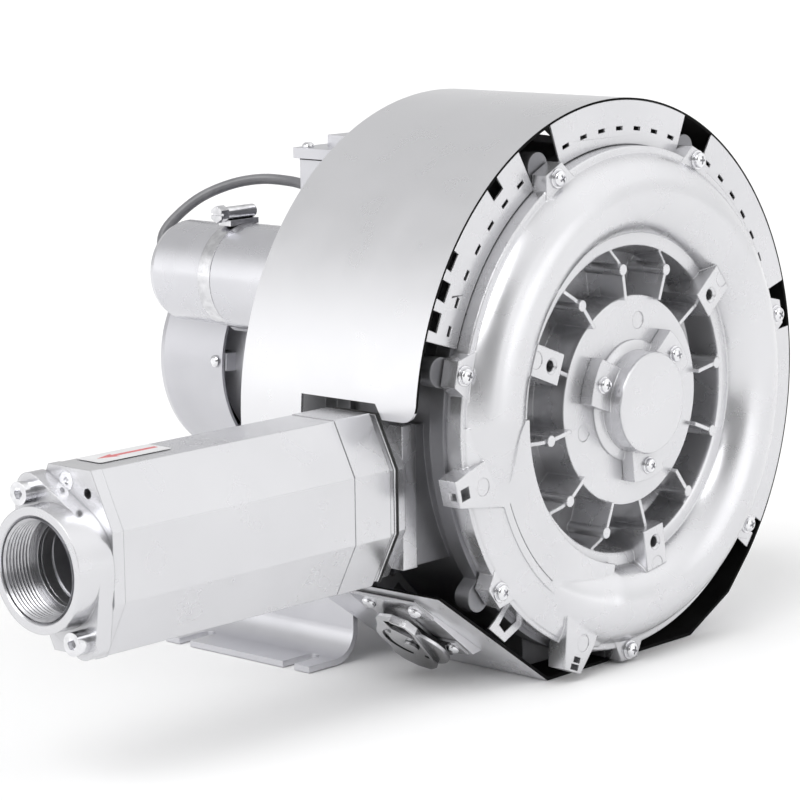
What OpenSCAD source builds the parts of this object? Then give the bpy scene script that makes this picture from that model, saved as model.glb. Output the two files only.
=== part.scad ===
// Two-stage side-channel blower with an air-guide hood, an outlet silencer and a
// flange-mounted motor. Millimetres. The shaft runs along Y, the front cover looks
// towards -Y, Z is up. The origin is on the shaft axis, in the plane of the cover pads' holes.

/* [Stand] */
// Height of the shaft axis above the surface that the blower stands on
axis_height = 168; // [166:1:176]

/* [Casings] */
// Radius of the circle of the cover screws
bolt_r = 160; // [158:0.5:163]
// Number of cover screws
bolt_count = 7; // [6:1:8]
// Direction of the interrupter, where the side channel has no bulge
interrupter_angle = -141.5; // [-145:0.5:-138]
// Radius of the middle of the side channel
channel_r = 129; // [128:0.5:130]
// Half width of the side channel
channel_half = 23; // [21:0.5:24]
// Wall of the cast casings
cast_wall = 4; // [3:0.5:4.5]
// Station of the front face of the cover flange
flange_face = 2; // [1:0.5:3]
// Thickness of the cover flange
flange_t = 12; // [10:1:13]
// Wall between the two stages
stage_wall = 6; // [5:0.5:9]
// Height of the hub webs' pins in front of the cover plane
pin_rise = 5; // [3:0.5:7]
// Radius of the recess in the middle of the cover
recess_r = 102; // [100:0.5:102]
// Radius of the hub disc
hub_r = 66; // [62:1:70]
// Radius of the circle of the threaded holes in the cover pads
pad_hole_r = 93; // [91:0.5:95]
// Bore of the threaded holes in the cover pads
pad_thread_r = 3.4; // [2.5:0.1:4.2]

/* [Rotor] */
// Outer radius of an impeller
impeller_r = 150; // [148:0.5:151]
// Width of an impeller's blade ring
ring_w = 28; // [26:1:30]
// Gap between an impeller and the casings
run_gap = 0.5; // [0.4:0.1:1]
// Number of blades on each side of an impeller
blade_count = 36; // [24:1:40]
// Radius of the shaft in the impellers
shaft_r = 14; // [13:0.5:15]
// Clearance of the shaft in the bearings
bearing_fit = 0.03; // [0.01:0.01:0.06]

/* [Hood] */
// Radius of the round part of the hood
hood_r = 181.5; // [181:0.5:184]
// Height of the middle of the hood's round part above the shaft
hood_up = 5; // [4:0.5:6]
// Sheet of the hood
hood_t = 2; // [1.5:0.25:2.5]
// Length of the hood along the shaft
hood_l = 149; // [146:1:152]
// Station of the hood's front edge
hood_front = 6; // [4:1:8]

/* [Outlet silencer] */
// Station of the silencer's middle
silencer_y = 61; // [60:0.5:63]
// Height of the silencer's middle
silencer_z = -38; // [-40:0.5:-37]
// Width of the silencer along the shaft
silencer_w = 66; // [62:1:68]
// Height of the silencer
silencer_h = 104; // [100:1:106]
// Distance from the shaft to the outer face of the silencer
silencer_reach = 412; // [380:1:430]
// Wall of the silencer casting
silencer_wall = 4; // [3:0.5:5]
// Radius of the thread bore in the port flanges
port_r = 28.33; // [26:0.01:29]
// Length of a port's thread boss with its flange
port_l = 25; // [20:1:30]

/* [Motor] */
// Radius of the motor housing over its fins
motor_r = 67; // [65:0.5:68]
// Length of the finned housing
motor_l = 116; // [108:1:124]
// Radius of the fan cowl
cowl_r = 73; // [72:0.5:76]
// Length of the fan cowl
cowl_l = 64; // [58:1:70]
// Number of fins around the motor housing
fin_count = 32; // [20:1:36]

/* [Capacitor] */
// Radius of the capacitor
cap_r = 34.5; // [30:0.5:36]
// Length of the capacitor
cap_l = 128; // [110:1:134]

/* [Foot] */
// Half width of the foot
foot_half = 149; // [145:1:155]
// Sheet of the foot
foot_t = 4; // [3:0.5:5]
// Length of the foot along the shaft
foot_l = 130; // [120:1:140]
// Width of the foot's slots
slot_w = 10; // [8:0.5:12]

/* [Hidden] */
$fn = 72;
eps = 0.01;

// Stations along the shaft, counted from the cover plane towards the motor
crown_in = -10;
part_1 = flange_face + flange_t;
channel_1 = crown_in + channel_half;
ring_open = 3;
ring_1 = channel_1 - ring_open + run_gap;
channel_2 = ring_1 + ring_w + run_gap - ring_open;
stage_face_1 = channel_2 + channel_half;
stage_face_2 = stage_face_1 + stage_wall;
channel_3 = stage_face_2 + channel_half;
ring_2 = channel_3 - ring_open + run_gap;
channel_4 = ring_2 + ring_w + run_gap - ring_open;
rear_in = channel_4 + channel_half;
rear_face = rear_in + cast_wall;
part_2 = ring_2 + ring_w / 2;
blade_in = channel_r - channel_half + 2;
blade_wall = 4;
recess_floor = part_1 + 10;
floor_t = cast_wall;
shield_l = 20;
housing_0 = rear_face + shield_l;
housing_1 = housing_0 + motor_l;
rear_shield_l = 24;
cowl_0 = housing_1 + rear_shield_l - 10;
cowl_1 = cowl_0 + cowl_l;
cap_x = -94;
cap_z = 69;

function screw_angle(i) = interrupter_angle + i * 360 / bolt_count;

// Shapes drawn as seen from the front, between two stations
module plate(y0, y1) {
  rotate([90, 0, 0]) translate([0, 0, -y1]) linear_extrude(y1 - y0) children();
}
// A turned shape around the shaft from points [radius, station]
module turned(points) {
  rotate([90, 0, 0]) rotate_extrude($fn = 96) polygon([for (p = points) [p[0], -p[1]]]);
}
// A round bar along the shaft direction
module bar(r, y0, y1, x = 0, z = 0) {
  translate([x, y1, z]) rotate([90, 0, 0]) cylinder(r = r, h = y1 - y0);
}
// A tapered round bar, r0 at station y0 and r1 at station y1
module cone_bar(r0, r1, y0, y1, x = 0, z = 0) {
  translate([x, y1, z]) rotate([90, 0, 0]) cylinder(r1 = r1, r2 = r0, h = y1 - y0);
}
// A plain tube around the shaft
module tube(r_out, r_in, y0, y1) {
  turned([[r_in, y0], [r_out, y0], [r_out, y1], [r_in, y1]]);
}
// Turns its children around the shaft, anticlockwise as seen from the front
module around(a) {
  rotate([0, -a, 0]) children();
}
// A bar along X
module cross_bar(r, x0, x1, y = 0, z = 0) {
  translate([x0, y, z]) rotate([0, 90, 0]) cylinder(r = r, h = x1 - x0);
}
module block(x0, x1, y0, y1, z0, z1) {
  translate([x0, y0, z0]) cube([x1 - x0, y1 - y0, z1 - z0]);
}
function sector(a0, a1, r = 300, n = 12) =
  concat([[0, 0]], [for (i = [0:n]) let (a = a0 + (a1 - a0) * i / n) [r * cos(a), r * sin(a)]]);

// Pan head screw with its washer, head towards -Y, under its head at station y
module pan_screw(y, head_r, head_h, shank_r, l, washer_r = 0, washer_t = 0) {
  turned([[0, y - washer_t - head_h], [head_r * 0.55, y - washer_t - head_h],
          [head_r * 0.9, y - washer_t - head_h * 0.6], [head_r, y - washer_t - head_h * 0.2],
          [head_r, y - washer_t], [max(washer_r, shank_r), y - washer_t],
          [max(washer_r, shank_r), y], [shank_r, y], [shank_r, y + l], [0, y + l]]);
}
// Socket head screw, head towards -Y
module socket_screw(y, head_r, head_h, shank_r, l, socket_r) {
  difference() {
    union() {
      bar(head_r, y - head_h, y);
      bar(shank_r, y - eps, y + l);
    }
    translate([0, y - head_h / 2, 0]) rotate([90, 0, 0]) cylinder(r = socket_r, h = head_h, $fn = 6);
  }
}

// Front cover
rim_r = bolt_r - 2;
boss_out = bolt_r + 6.5;
bulge_gap = 40;
lug_swing = 27;
screw_hole_r = 3.2;
panel_face = -4;
crest_r = channel_r + 9;
bulge_r = channel_half + cast_wall;
bearing_r = 26;
bearing_w = 15;
bearing_0 = 0;
nut_room_r = shaft_r + 7.5;
pad_face = -8;
pad_in = pad_hole_r - 13;
pad_out = pad_hole_r + 15;
pad_half = 12;
pin_at = (hub_r + recess_r) / 2 + 0.5;
boss_face = flange_face - 0.8;

module bulge(r, y1) {
  intersection() {
    union() {
      intersection() {
        rotate([90, 0, 0]) rotate_extrude($fn = 96) translate([channel_r, -channel_1]) circle(r);
        plate(-60, part_1) polygon(sector(interrupter_angle + bulge_gap, interrupter_angle + 360 - bulge_gap));
      }
      for (s = [-1, 1]) around(interrupter_angle + s * bulge_gap)
        translate([channel_r, channel_1, 0]) sphere(r);
    }
    plate(-60, y1) circle(300);
  }
}
module cover_rib() {
  linear_extrude(2.6, center = true)
    polygon([[hub_r - 1, 0.5], [hub_r + 5, -0.4], [pin_at - 6, -pin_rise + 2.6], [pin_at - 2, -pin_rise],
             [pin_at + 2, -pin_rise], [pin_at + 7, -pin_rise + 3.2], [recess_r - 6, 0.8], [recess_r + 1, 3],
             [recess_r + 1, recess_floor + 1], [hub_r - 1, recess_floor + 1]]);
}
module cover_lug(side) {
  plate(panel_face - 0.6, part_1 - 4) rotate(interrupter_angle + side * lug_swing) scale([1, side])
    polygon([[bolt_r + 14, -5], [bolt_r + 15, 10], [bolt_r + 5, 17], [channel_r + 9, 22], [channel_r - 4, 22],
             [channel_r - 4, -12], [channel_r + 9, -12]]);
}
module lug_pocket(side) {
  around(interrupter_angle + side * lug_swing) {
    block(bolt_r + 4, bolt_r + 11, panel_face - 1, part_1 - 6, -3.5 + side * 2, 4.5 + side * 2);
    block(bolt_r - 2, bolt_r + 2.5, panel_face - 1, part_1 - 8, -2.5 + side * 2, 2.5 + side * 2);
  }
}
module front_cover() color([0.78, 0.78, 0.8]) difference() {
  union() {
    turned([[0, 0], [hub_r - 1.2, 0], [hub_r, 1.2], [hub_r, recess_floor], [recess_r, recess_floor],
            [recess_r, flange_face], [rim_r, flange_face], [rim_r, part_1], [recess_r + cast_wall, part_1],
            [recess_r + cast_wall, recess_floor + floor_t], [0, recess_floor + floor_t]]);
    for (i = [0:bolt_count - 1]) around(screw_angle(i)) plate(boss_face, part_1 - 1)
      polygon([[bolt_r - 10, -16], [boss_out, -8], [boss_out, 8], [bolt_r - 10, 16]]);
    bulge(bulge_r, part_1 - 6);
    intersection() {
      turned([[recess_r, panel_face], [crest_r - 0.5, panel_face], [crest_r, panel_face + 1],
              [rim_r - 2, flange_face + 3], [rim_r - 2, part_1 - 3], [recess_r, part_1 - 3]]);
      plate(-60, part_1) polygon(sector(interrupter_angle - bulge_gap, interrupter_angle + bulge_gap));
    }
    for (side = [-1, 1]) cover_lug(side);
    for (i = [0:11]) around(159 - 30 * i) {
      if (i % 4 == 0) {
        block(pad_in, pad_out, pad_face, recess_floor + 1, -pad_half, pad_half);
        linear_extrude(2.6, center = true)
          polygon([[hub_r - 1, 1], [pad_in + 1, -2], [pad_in + 1, recess_floor + 1], [hub_r - 1, recess_floor + 1]]);
      } else {
        cover_rib();
        bar(3.6, -pin_rise, recess_floor + 1, pin_at, 0);
      }
    }
  }
  cover_cuts();
}
module cover_cuts() {
  // The side channel, and the impeller ring's own pocket
  bulge(channel_half, part_1 - 2);
  tube(impeller_r + run_gap, recess_r + cast_wall + 1, ring_1 - run_gap, recess_floor + 2);
  // Hollow behind the hub disc, bearing seat and the room of the lock nut
  tube(hub_r - 6, bearing_r + 10, 7, recess_floor + floor_t + 1);
  bar(bearing_r, -1, bearing_0 + bearing_w);
  bar(nut_room_r, 0, recess_floor + floor_t + 1);
  for (i = [0:bolt_count - 1]) around(screw_angle(i)) bar(screw_hole_r, -20, part_1 + 1, bolt_r, 0);
  for (i = [0:2]) around(159 - 120 * i) {
    bar(pad_thread_r, pad_face - 1, pad_face + 18, pad_hole_r, 0);
    cone_bar(pad_thread_r + 2.6, pad_thread_r, pad_face - 1, pad_face + 1.6, pad_hole_r, 0);
  }
  for (i = [0:2]) around(157 - 120 * i) bar(cap_screw_r, -1, 6, cap_screw_at, 0);
  for (side = [-1, 1]) lug_pocket(side);
  block(-60, 60, -5, part_1 + 1, -axis_height - 20, hood_t + 0.4 - axis_height);
}
module cover_screws() color([0.86, 0.86, 0.87])
  for (i = [0:bolt_count - 1]) around(screw_angle(i)) translate([bolt_r, 0, 0])
    pan_screw(boss_face, 5, 3.4, screw_hole_r - 0.3, flange_t + 8.8, 6.2, 1.2);

// Bearing cap on the hub
cap_screw_at = 41.5;
cap_screw_r = 2.5;
cap_dome_r = 32;
cap_front = -17.6;
ear_face = -8;
module bearing_cap() color([0.8, 0.8, 0.82]) difference() {
  union() {
    turned([[0, cap_front], [cap_dome_r - 2, cap_front], [cap_dome_r - 0.6, cap_front + 0.6],
            [cap_dome_r, cap_front + 2], [cap_dome_r, -3.4], [cap_dome_r + 5, -2.6], [cap_dome_r + 6, -1.6],
            [cap_dome_r + 6, 0], [0, 0]]);
    for (i = [0:2]) around(157 - 120 * i) block(cap_dome_r - 4, cap_screw_at + 12, ear_face, 0, -11, 11);
  }
  turned([[0, cap_front + 4], [bearing_r - 3, cap_front + 4], [bearing_r - 3, 1], [0, 1]]);
  for (i = [0:2]) around(157 - 120 * i) bar(cap_screw_r + 0.2, ear_face - 1, 1, cap_screw_at, 0);
}
module bearing_cap_screws() color([0.86, 0.86, 0.87])
  for (i = [0:2]) around(157 - 120 * i) translate([cap_screw_at, 0, 0])
    pan_screw(ear_face, 4.6, 3, cap_screw_r, 8 + 5.5, 5.4, 1);

// A sealed deep-groove ball bearing
module ball_bearing(r_out, r_in, y0, w) {
  difference() {
    tube(r_out, r_in, y0, y0 + w);
    for (e = [0, 1]) turned(let (f = y0 + e * w, d = 1 - 2 * e)
      [[r_in + 3, f - d], [r_out - 3, f - d], [r_out - 3, f + d * 0.8], [r_in + 3, f + d * 0.8]]);
  }
}
module front_bearing() color([0.6, 0.6, 0.62])
  ball_bearing(bearing_r, journal_r + bearing_fit, bearing_0, bearing_w);

// Impellers: a hub disc with a ring of straight blades on both sides of a middle wall
impeller_hub_r = 24;
web_0 = recess_floor + floor_t + 2;
hub_0 = web_0 - 1;
web_l = 6;
hub_l = 18;
stage_pitch = ring_2 - ring_1;
key_w = 6;
module impeller(shift) translate([0, shift, 0]) {
  ring_mid = ring_1 + ring_w / 2;
  difference() {
    union() {
      tube(impeller_hub_r, shaft_r, hub_0, hub_0 + hub_l);
      tube(blade_in + 2, impeller_hub_r - 1, web_0, web_0 + web_l);
      tube(blade_in + blade_wall, blade_in, ring_1 + 1, ring_1 + ring_w - 1);
      turned([[blade_in + 2.5, ring_mid - 5], [blade_in + 12, ring_mid - 1.5], [impeller_r, ring_mid - 1.5],
              [impeller_r, ring_mid + 1.5], [blade_in + 12, ring_mid + 1.5], [blade_in + 2.5, ring_mid + 5]]);
      for (i = [0:blade_count - 1]) around((i + 0.5) * 360 / blade_count)
        block(blade_in + blade_wall - 1, impeller_r - 0.5, ring_1, ring_1 + ring_w, -1.1, 1.1);
    }
    block(-key_w / 2, key_w / 2, hub_0 - 1, hub_0 + hub_l + 1, 0, shaft_r + 2.8);
  }
}
module front_impeller() color([0.72, 0.73, 0.75]) impeller(0);
module rear_impeller() color([0.72, 0.73, 0.75]) impeller(stage_pitch);
module impeller_spacer() color([0.55, 0.56, 0.58])
  tube(shaft_r + 5, shaft_r + 0.03, hub_0 + hub_l, hub_0 + stage_pitch);
module lock_nut() color([0.5, 0.5, 0.52]) difference() {
  tube(shaft_r + 5.5, shaft_r, nut_0, hub_0);
  for (i = [0:3]) around(45 + 90 * i) block(shaft_r + 3.6, shaft_r + 7, nut_0 - 1, hub_0 - 1.6, -2, 2);
}
nut_0 = bearing_0 + bearing_w + 1.5;
journal_r = shaft_r - 1.5;
seal_r = shaft_r + 2;
drive_r = shaft_r + 1;
shoulder_0 = hub_0 + stage_pitch + hub_l;
core_0 = housing_0 + 10;
core_l = 82;
tail_r = journal_r;
tail_bearing_0 = housing_1 + 1;
fan_0 = housing_1 + rear_shield_l + 2;
fan_l = 36;
fan_seat_r = tail_r - 1.5;
module shaft() color([0.62, 0.63, 0.65]) difference() {
  turned([[0, -0.5], [journal_r - 1, -0.5], [journal_r, 0.5], [journal_r, nut_0], [shaft_r, nut_0],
          [shaft_r, shoulder_0], [shaft_r + 4, shoulder_0], [shaft_r + 4, shoulder_0 + 5],
          [seal_r, shoulder_0 + 5], [seal_r, rear_face], [drive_r, rear_face], [drive_r, housing_0],
          [shaft_r + 4, housing_0], [shaft_r + 4, housing_1 - 2], [tail_r, housing_1 - 2],
          [tail_r, fan_0 - 2], [fan_seat_r, fan_0 - 2], [fan_seat_r, fan_0 + fan_l + 2], [0, fan_0 + fan_l + 2]]);
  for (s = [0, 1]) block(-key_w / 2, key_w / 2, hub_0 + s * stage_pitch + 1, hub_0 + s * stage_pitch + hub_l - 1,
                         shaft_r - 3.4, shaft_r + 4);
}
module shaft_keys() color([0.45, 0.45, 0.47])
  for (s = [0, 1]) block(-key_w / 2, key_w / 2, hub_0 + s * stage_pitch + 1, hub_0 + s * stage_pitch + hub_l - 1,
                         shaft_r - 3.4, shaft_r + 2.6);

// Centre and rear casings, each with its channels, ears and ring seats
casing_r = channel_r + channel_half + cast_wall;
ear_out = bolt_r + 16;
rear_turn = 180 - interrupter_angle;
hub_tube_r = shaft_r + 16;
manifold_y0 = silencer_y - silencer_w / 2 + 2;
manifold_y1 = silencer_y + silencer_w / 2 - 2;
manifold_z0 = silencer_z - silencer_h / 2 + 5;
manifold_z1 = silencer_z + silencer_h / 2 - 6;
inlet_y = (part_2 + rear_face) / 2;
inlet_w = 62;
inlet_z = -36;
inlet_h = 92;
// Outline of a casing's flange, with an ear behind each screw boss and its bottom cut flat
module flange_outline() {
  difference() {
    union() {
      circle(bolt_r + 1);
      for (i = [0:bolt_count - 1]) rotate(screw_angle(i)) {
        translate([ear_out - 9, 0]) circle(9);
        translate([bolt_r - 8, -9]) square([ear_out - 9 - bolt_r + 8, 18]);
      }
    }
    circle(recess_r - 1);
    for (i = [0:bolt_count - 1]) rotate(screw_angle(i)) translate([bolt_r, 0]) circle(screw_hole_r - 0.2);
    translate([-60, -axis_height - 20]) square([120, 20 + hood_t + 0.3]);
  }
}
module channel(y, from, to) {
  intersection() {
    rotate([90, 0, 0]) rotate_extrude($fn = 96) translate([channel_r, -y]) circle(channel_half);
    plate(-60, 300) polygon(sector(from, to));
  }
}
module centre_casing() color([0.7, 0.71, 0.73]) difference() {
  union() {
    plate(part_1, part_1 + 11) flange_outline();
    plate(part_2 - 11, part_2) flange_outline();
    tube(casing_r, recess_r - 2, part_1 + 5, part_2 - 5);
    turned([[shaft_r + 6, stage_face_1 - 14], [hub_tube_r, stage_face_1 - 14], [hub_tube_r, stage_face_1 - 4],
            [recess_r, stage_face_1 - 4], [recess_r, stage_face_2 + 4], [hub_tube_r, stage_face_2 + 4],
            [hub_tube_r, stage_face_2 + 20], [shaft_r + 6, stage_face_2 + 20]]);
    for (s = [-1, 1]) block(s * 45 - 14, s * 45 + 14, 40, 86, -axis_height + hood_t, -bolt_r + 22);
    // Branch to the outlet
    block(-bolt_r - 4, -casing_r + 30, manifold_y0 + 4, manifold_y1 - 5, manifold_z0 + 4, manifold_z1 - 4);
  }
  // Room of the front impeller, and of the rear impeller's ring
  turned([[0.5, part_1 - 1], [impeller_r + run_gap, part_1 - 1], [impeller_r + run_gap, ring_1 + ring_w + run_gap],
          [recess_r + cast_wall + 1, ring_1 + ring_w + run_gap], [recess_r + cast_wall + 1, web_0 + web_l + 2],
          [impeller_hub_r + 2, web_0 + web_l + 2], [impeller_hub_r + 2, hub_0 + hub_l + 2], [0.5, hub_0 + hub_l + 2]]);
  tube(impeller_r + run_gap, recess_r + cast_wall + 1, ring_2 - run_gap, part_2 + 1);
  channel(channel_2, interrupter_angle + bulge_gap - 6, interrupter_angle + 360 - bulge_gap + 24);
  channel(channel_3, rear_turn + bulge_gap - 24, rear_turn + 360 - bulge_gap + 6);
  for (a = [-88, -94]) around(a) bar(13, stage_face_1 - 6, stage_face_2 + 6, channel_r, 0);
  translate([0, 0, manifold_z0 + 12]) linear_extrude(manifold_z1 - manifold_z0 - 24)
    polygon([[-bolt_r - 20, manifold_y0 + 11], [12 - channel_r, manifold_y0 + 11], [12 - channel_r, stage_face_1 - 3],
             [-casing_r - 2, stage_face_1 - 3], [-casing_r - 2, manifold_y1 - 11], [-bolt_r - 20, manifold_y1 - 11]]);
}
module rear_casing() color([0.7, 0.71, 0.73]) difference() {
  union() {
    plate(part_2, part_2 + 10) flange_outline();
    turned([[recess_r - 2, part_2 + 4], [casing_r, part_2 + 4], [casing_r, rear_face], [seal_r + 2, rear_face],
            [seal_r + 2, rear_face - 1], [seal_seat_r, rear_face - 1], [seal_seat_r, shoulder_0 + 2],
            [shaft_r + 27, shoulder_0 + 2], [shaft_r + 27, rear_in], [recess_r - 2, rear_in]]);
    // Branch from the inlet
    block(casing_r - 30, bolt_r + 4, part_2 + 1, rear_face - 1, inlet_z - 34, inlet_z + 34);
  }
  turned([[0.5, part_2 - 1], [impeller_r + run_gap, part_2 - 1], [impeller_r + run_gap, ring_2 + ring_w + run_gap],
          [recess_r + cast_wall + 1, ring_2 + ring_w + run_gap],
          [recess_r + cast_wall + 1, web_0 + stage_pitch + web_l + 2], [0.5, web_0 + stage_pitch + web_l + 2]]);
  channel(channel_4, rear_turn + bulge_gap - 24, rear_turn + 360 - bulge_gap + 6);
  for (i = [0:3]) around(45 + 90 * i) bar(2.5, rear_face - 3.6, rear_face + 1, rod_at, 0);
  for (i = [0:bolt_count - 1]) around(screw_angle(i)) bar(6.2, casing_seat, casing_seat + 6, bolt_r, 0);
  block(channel_r - 10, bolt_r + 20, part_2 + 8, rear_face - 7, inlet_z - 26, inlet_z + 26);
}
seal_seat_r = seal_r + 7;
casing_seat = part_2 + 9.7;
module shaft_seal() color([0.12, 0.12, 0.13])
  turned([[seal_r + bearing_fit, shoulder_0 + 7], [seal_seat_r, shoulder_0 + 7], [seal_seat_r, shoulder_0 + 14],
          [seal_r + 3, shoulder_0 + 14], [seal_r + bearing_fit, shoulder_0 + 11]]);
module casing_screws() color([0.8, 0.8, 0.82])
  for (i = [0:bolt_count - 1]) around(screw_angle(i)) translate([bolt_r, casing_seat, 0]) mirror([0, 1, 0])
    pan_screw(0, 5, 3.4, screw_hole_r - 0.3, 20, 5.4, 1.2);

// Air-guide hood: a rolled sheet with a flat bottom, a sloped side and a slotted front flange
latch_turn = 38.62;
facet_gap = 5.2;
facet_top = hood_up + (hood_r * sin(latch_turn) - hood_r - facet_gap) / cos(latch_turn);
facet_x = ((axis_height + hood_up) * cos(latch_turn) - hood_r - facet_gap) / sin(latch_turn);
bottom_x = 72;
chamfer = [bottom_x + 42, 21 - axis_height];
hood_meet = -41;
facet_trim = 134;
flange_in = bolt_r + 5.5;
function unit(v) = v / norm(v);
function inward(a, b) = let (d = unit(b - a)) [-d[1], d[0]];
function inset_at(a, b, c, t) = let (m = inward(a, b), n = inward(b, c)) b + t * (m + n) / (1 + m * n);
function hood_polygon(t) = let (
    p0 = [-hood_r, hood_up], p1 = [-hood_r, facet_top], p2 = [facet_x, -axis_height],
    p3 = [bottom_x, -axis_height], p5 = [hood_r * cos(hood_meet), hood_up + hood_r * sin(hood_meet)])
  [[t - hood_r, hood_up], inset_at(p0, p1, p2, t), inset_at(p1, p2, p3, t), inset_at(p2, p3, chamfer, t),
   inset_at(p3, chamfer, p5, t), p5 - t * [cos(hood_meet), sin(hood_meet)], [0, hood_up]];
module hood_outline(t) {
  intersection() {
    translate([0, hood_up]) circle(hood_r - t, $fn = 120);
    translate([-hood_r, -axis_height + t]) square([2 * hood_r, 2 * hood_r]);
  }
  polygon(hood_polygon(t));
}
screw_step = 360 / bolt_count;
module hood() color([0.76, 0.76, 0.79]) difference() {
  union() {
    plate(hood_front, hood_front + hood_l) difference() {
      hood_outline(0);
      hood_outline(hood_t);
    }
    for (i = [2:5]) hood_flange(interrupter_angle + i * screw_step);
  }
  // Opening for the outlet silencer, with a rounded corner at the front
  x_plate(-hood_r - 20, -hood_r + 60)
    polygon([[hood_front - 5, facet_top], [hood_front - 5, 8], [hood_front + 14, 19], [104, 19], [104, facet_top]]);
  for (p = latch_screw_places) on_facet() translate([p[0], p[1], -1]) cylinder(r = 2.25, h = 2 + hood_t);
  // Opening for the inlet
  block(hood_r - 60, hood_r + 20, inlet_y - inlet_w / 2 - 1, inlet_y + inlet_w / 2 + 1,
        inlet_z - inlet_h / 2 - 2, inlet_z + inlet_h / 2 + 2);
  // The lower rear is cut away around the foot
  block(-hood_r - 20, hood_r + 20, facet_trim, hood_front + hood_l + 5, -axis_height - 5, facet_top + 6);
}
module hood_flange(a) {
  gap = 8.5;
  plate(hood_front, hood_front + 1.5) difference() {
    intersection() {
      polygon(sector(a + gap, a + screw_step - gap));
      hood_outline(hood_t - 0.5);
    }
    circle(flange_in);
    for (k = [0:5]) rotate(a + gap + 4 + k * (screw_step - 2 * gap - 8) / 5)
      translate([flange_in + 4.6, -3.4]) square([2.2, 6.8]);
  }
}

// Outlet silencer: an eight-sided casting with an adaptor, a liner and a two-bolt port
gasket_t = 3;
hood_side = -hood_r + 5.5;
manifold_face = hood_side - 8;
adaptor_in = hood_side - 11;
adaptor_l = 35;
end_plate_t = 8;
body_in = adaptor_in - adaptor_l;
body_out = end_plate_t - silencer_reach;
top_flat = 34;
side_flat = 40;
port_boss_r = port_r + 6.7;
port_bolt_at = 43.5;
port_turn = 63;
flange_bolt_r = 4;
flange_t_port = 11;
tube_r = 26;
module x_plate(x0, x1) {
  translate([x0, 0, 0]) rotate([90, 0, 90]) linear_extrude(x1 - x0) children();
}
module octagon(w, h, top, side) {
  polygon([[-top / 2, h / 2], [-w / 2, side / 2], [-w / 2, -side / 2], [-top / 2, -h / 2],
           [top / 2, -h / 2], [w / 2, -side / 2], [w / 2, side / 2], [top / 2, h / 2]]);
}
module silencer_section(shrink = 0) {
  translate([silencer_y, silencer_z])
    octagon(silencer_w - 2 * shrink, silencer_h - 2 * shrink, top_flat - shrink, side_flat - shrink);
}
module outlet_manifold() color([0.74, 0.74, 0.76]) difference() {
  union() {
    x_plate(manifold_face, hood_side) silencer_section(3);
    block(hood_side - eps, -bolt_r - 4, manifold_y0 + 3, manifold_y1 - 3, manifold_z0 + 3, manifold_z1 - 3);
  }
  block(-hood_r - 20, -bolt_r, manifold_y0 + 11, manifold_y1 - 11, manifold_z0 + 12, manifold_z1 - 12);
}
module silencer_gasket() color([0.06, 0.06, 0.06])
  x_plate(adaptor_in, manifold_face) difference() {
    silencer_section(1);
    translate([silencer_y, silencer_z]) circle(tube_r + 2);
  }
module silencer_adaptor() color([0.77, 0.77, 0.8]) difference() {
  union() {
    x_plate(adaptor_in - adaptor_l, adaptor_in - 5) silencer_section(0);
    x_plate(adaptor_in - 5 - eps, adaptor_in) silencer_section(2);
  }
  x_plate(adaptor_in - adaptor_l - 1, adaptor_in - 12) silencer_section(silencer_wall);
  cross_bar(tube_r, adaptor_in - 13, adaptor_in + 1, silencer_y, silencer_z);
}
module silencer_body() color([0.77, 0.77, 0.8])
  x_plate(body_out, body_in) difference() {
    silencer_section(0.4);
    silencer_section(silencer_wall);
  }
module silencer_liner() color([0.3, 0.3, 0.3])
  x_plate(body_out + 1, adaptor_in - 13) difference() {
    silencer_section(silencer_wall + 0.3);
    translate([silencer_y, silencer_z]) circle(tube_r + 0.5);
  }
module silencer_tube() color([0.6, 0.6, 0.62]) difference() {
  cross_bar(tube_r, body_out, adaptor_in - 12, silencer_y, silencer_z);
  cross_bar(tube_r - 1.5, body_out - 1, adaptor_in - 11, silencer_y, silencer_z);
  for (i = [0:8]) for (j = [0:2])
    translate([body_out + 16 + i * 19, silencer_y, silencer_z]) rotate([20 + j * 60 + (i % 2) * 30, 0, 0])
      cylinder(r = 3, h = 3 * tube_r, center = true);
}
port_y = silencer_y + 1;
port_z = silencer_z - 1;
module port_bolts() {
  for (s = [-1, 1]) translate([s * port_bolt_at * cos(port_turn), s * port_bolt_at * sin(port_turn)]) children();
}
module port_outline() {
  ear_r = 10.5;
  lean = acos((port_boss_r - ear_r) / port_bolt_at);
  circle(port_boss_r);
  port_bolts() circle(ear_r);
  for (s = [0, 180]) rotate(port_turn + s)
    polygon([port_boss_r * [cos(lean), sin(lean)], [0, 0], port_boss_r * [cos(lean), -sin(lean)],
             [port_bolt_at + ear_r * cos(lean), -ear_r * sin(lean)], [port_bolt_at, 0],
             [port_bolt_at + ear_r * cos(lean), ear_r * sin(lean)]]);
}
module silencer_end_plate() color([0.77, 0.77, 0.8]) difference() {
  x_plate(-silencer_reach, body_out) silencer_section(0);
  cross_bar(tube_r - 2, -silencer_reach - 1, body_out + 1, port_y, port_z);
  translate([0, port_y, port_z]) x_plate(-silencer_reach - 1, body_out + 1) port_bolts() circle(flange_bolt_r - 0.55);
  cross_bar(3, -silencer_reach - 1, body_out + 1, silencer_y + 3, silencer_z + 44);
  translate([-silencer_reach - eps, silencer_y + 3, silencer_z + 44]) rotate([0, 90, 0])
    cylinder(r1 = 5.4, r2 = 3, h = 3);
  cross_bar(2.8, -silencer_reach - 1, body_out + 1, silencer_y - 14, silencer_z + 39);
}
module end_plate_screw() color([0.7, 0.7, 0.72])
  translate([-silencer_reach, silencer_y + 3, silencer_z + 44]) rotate([0, 90, 0]) difference() {
    union() {
      cylinder(r1 = 5.35, r2 = 2.95, h = 3);
      cylinder(r = 2.95, h = end_plate_t);
    }
    translate([0, 0, -1]) cylinder(r = 2.3, h = 3.4, $fn = 6);
  }
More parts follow.
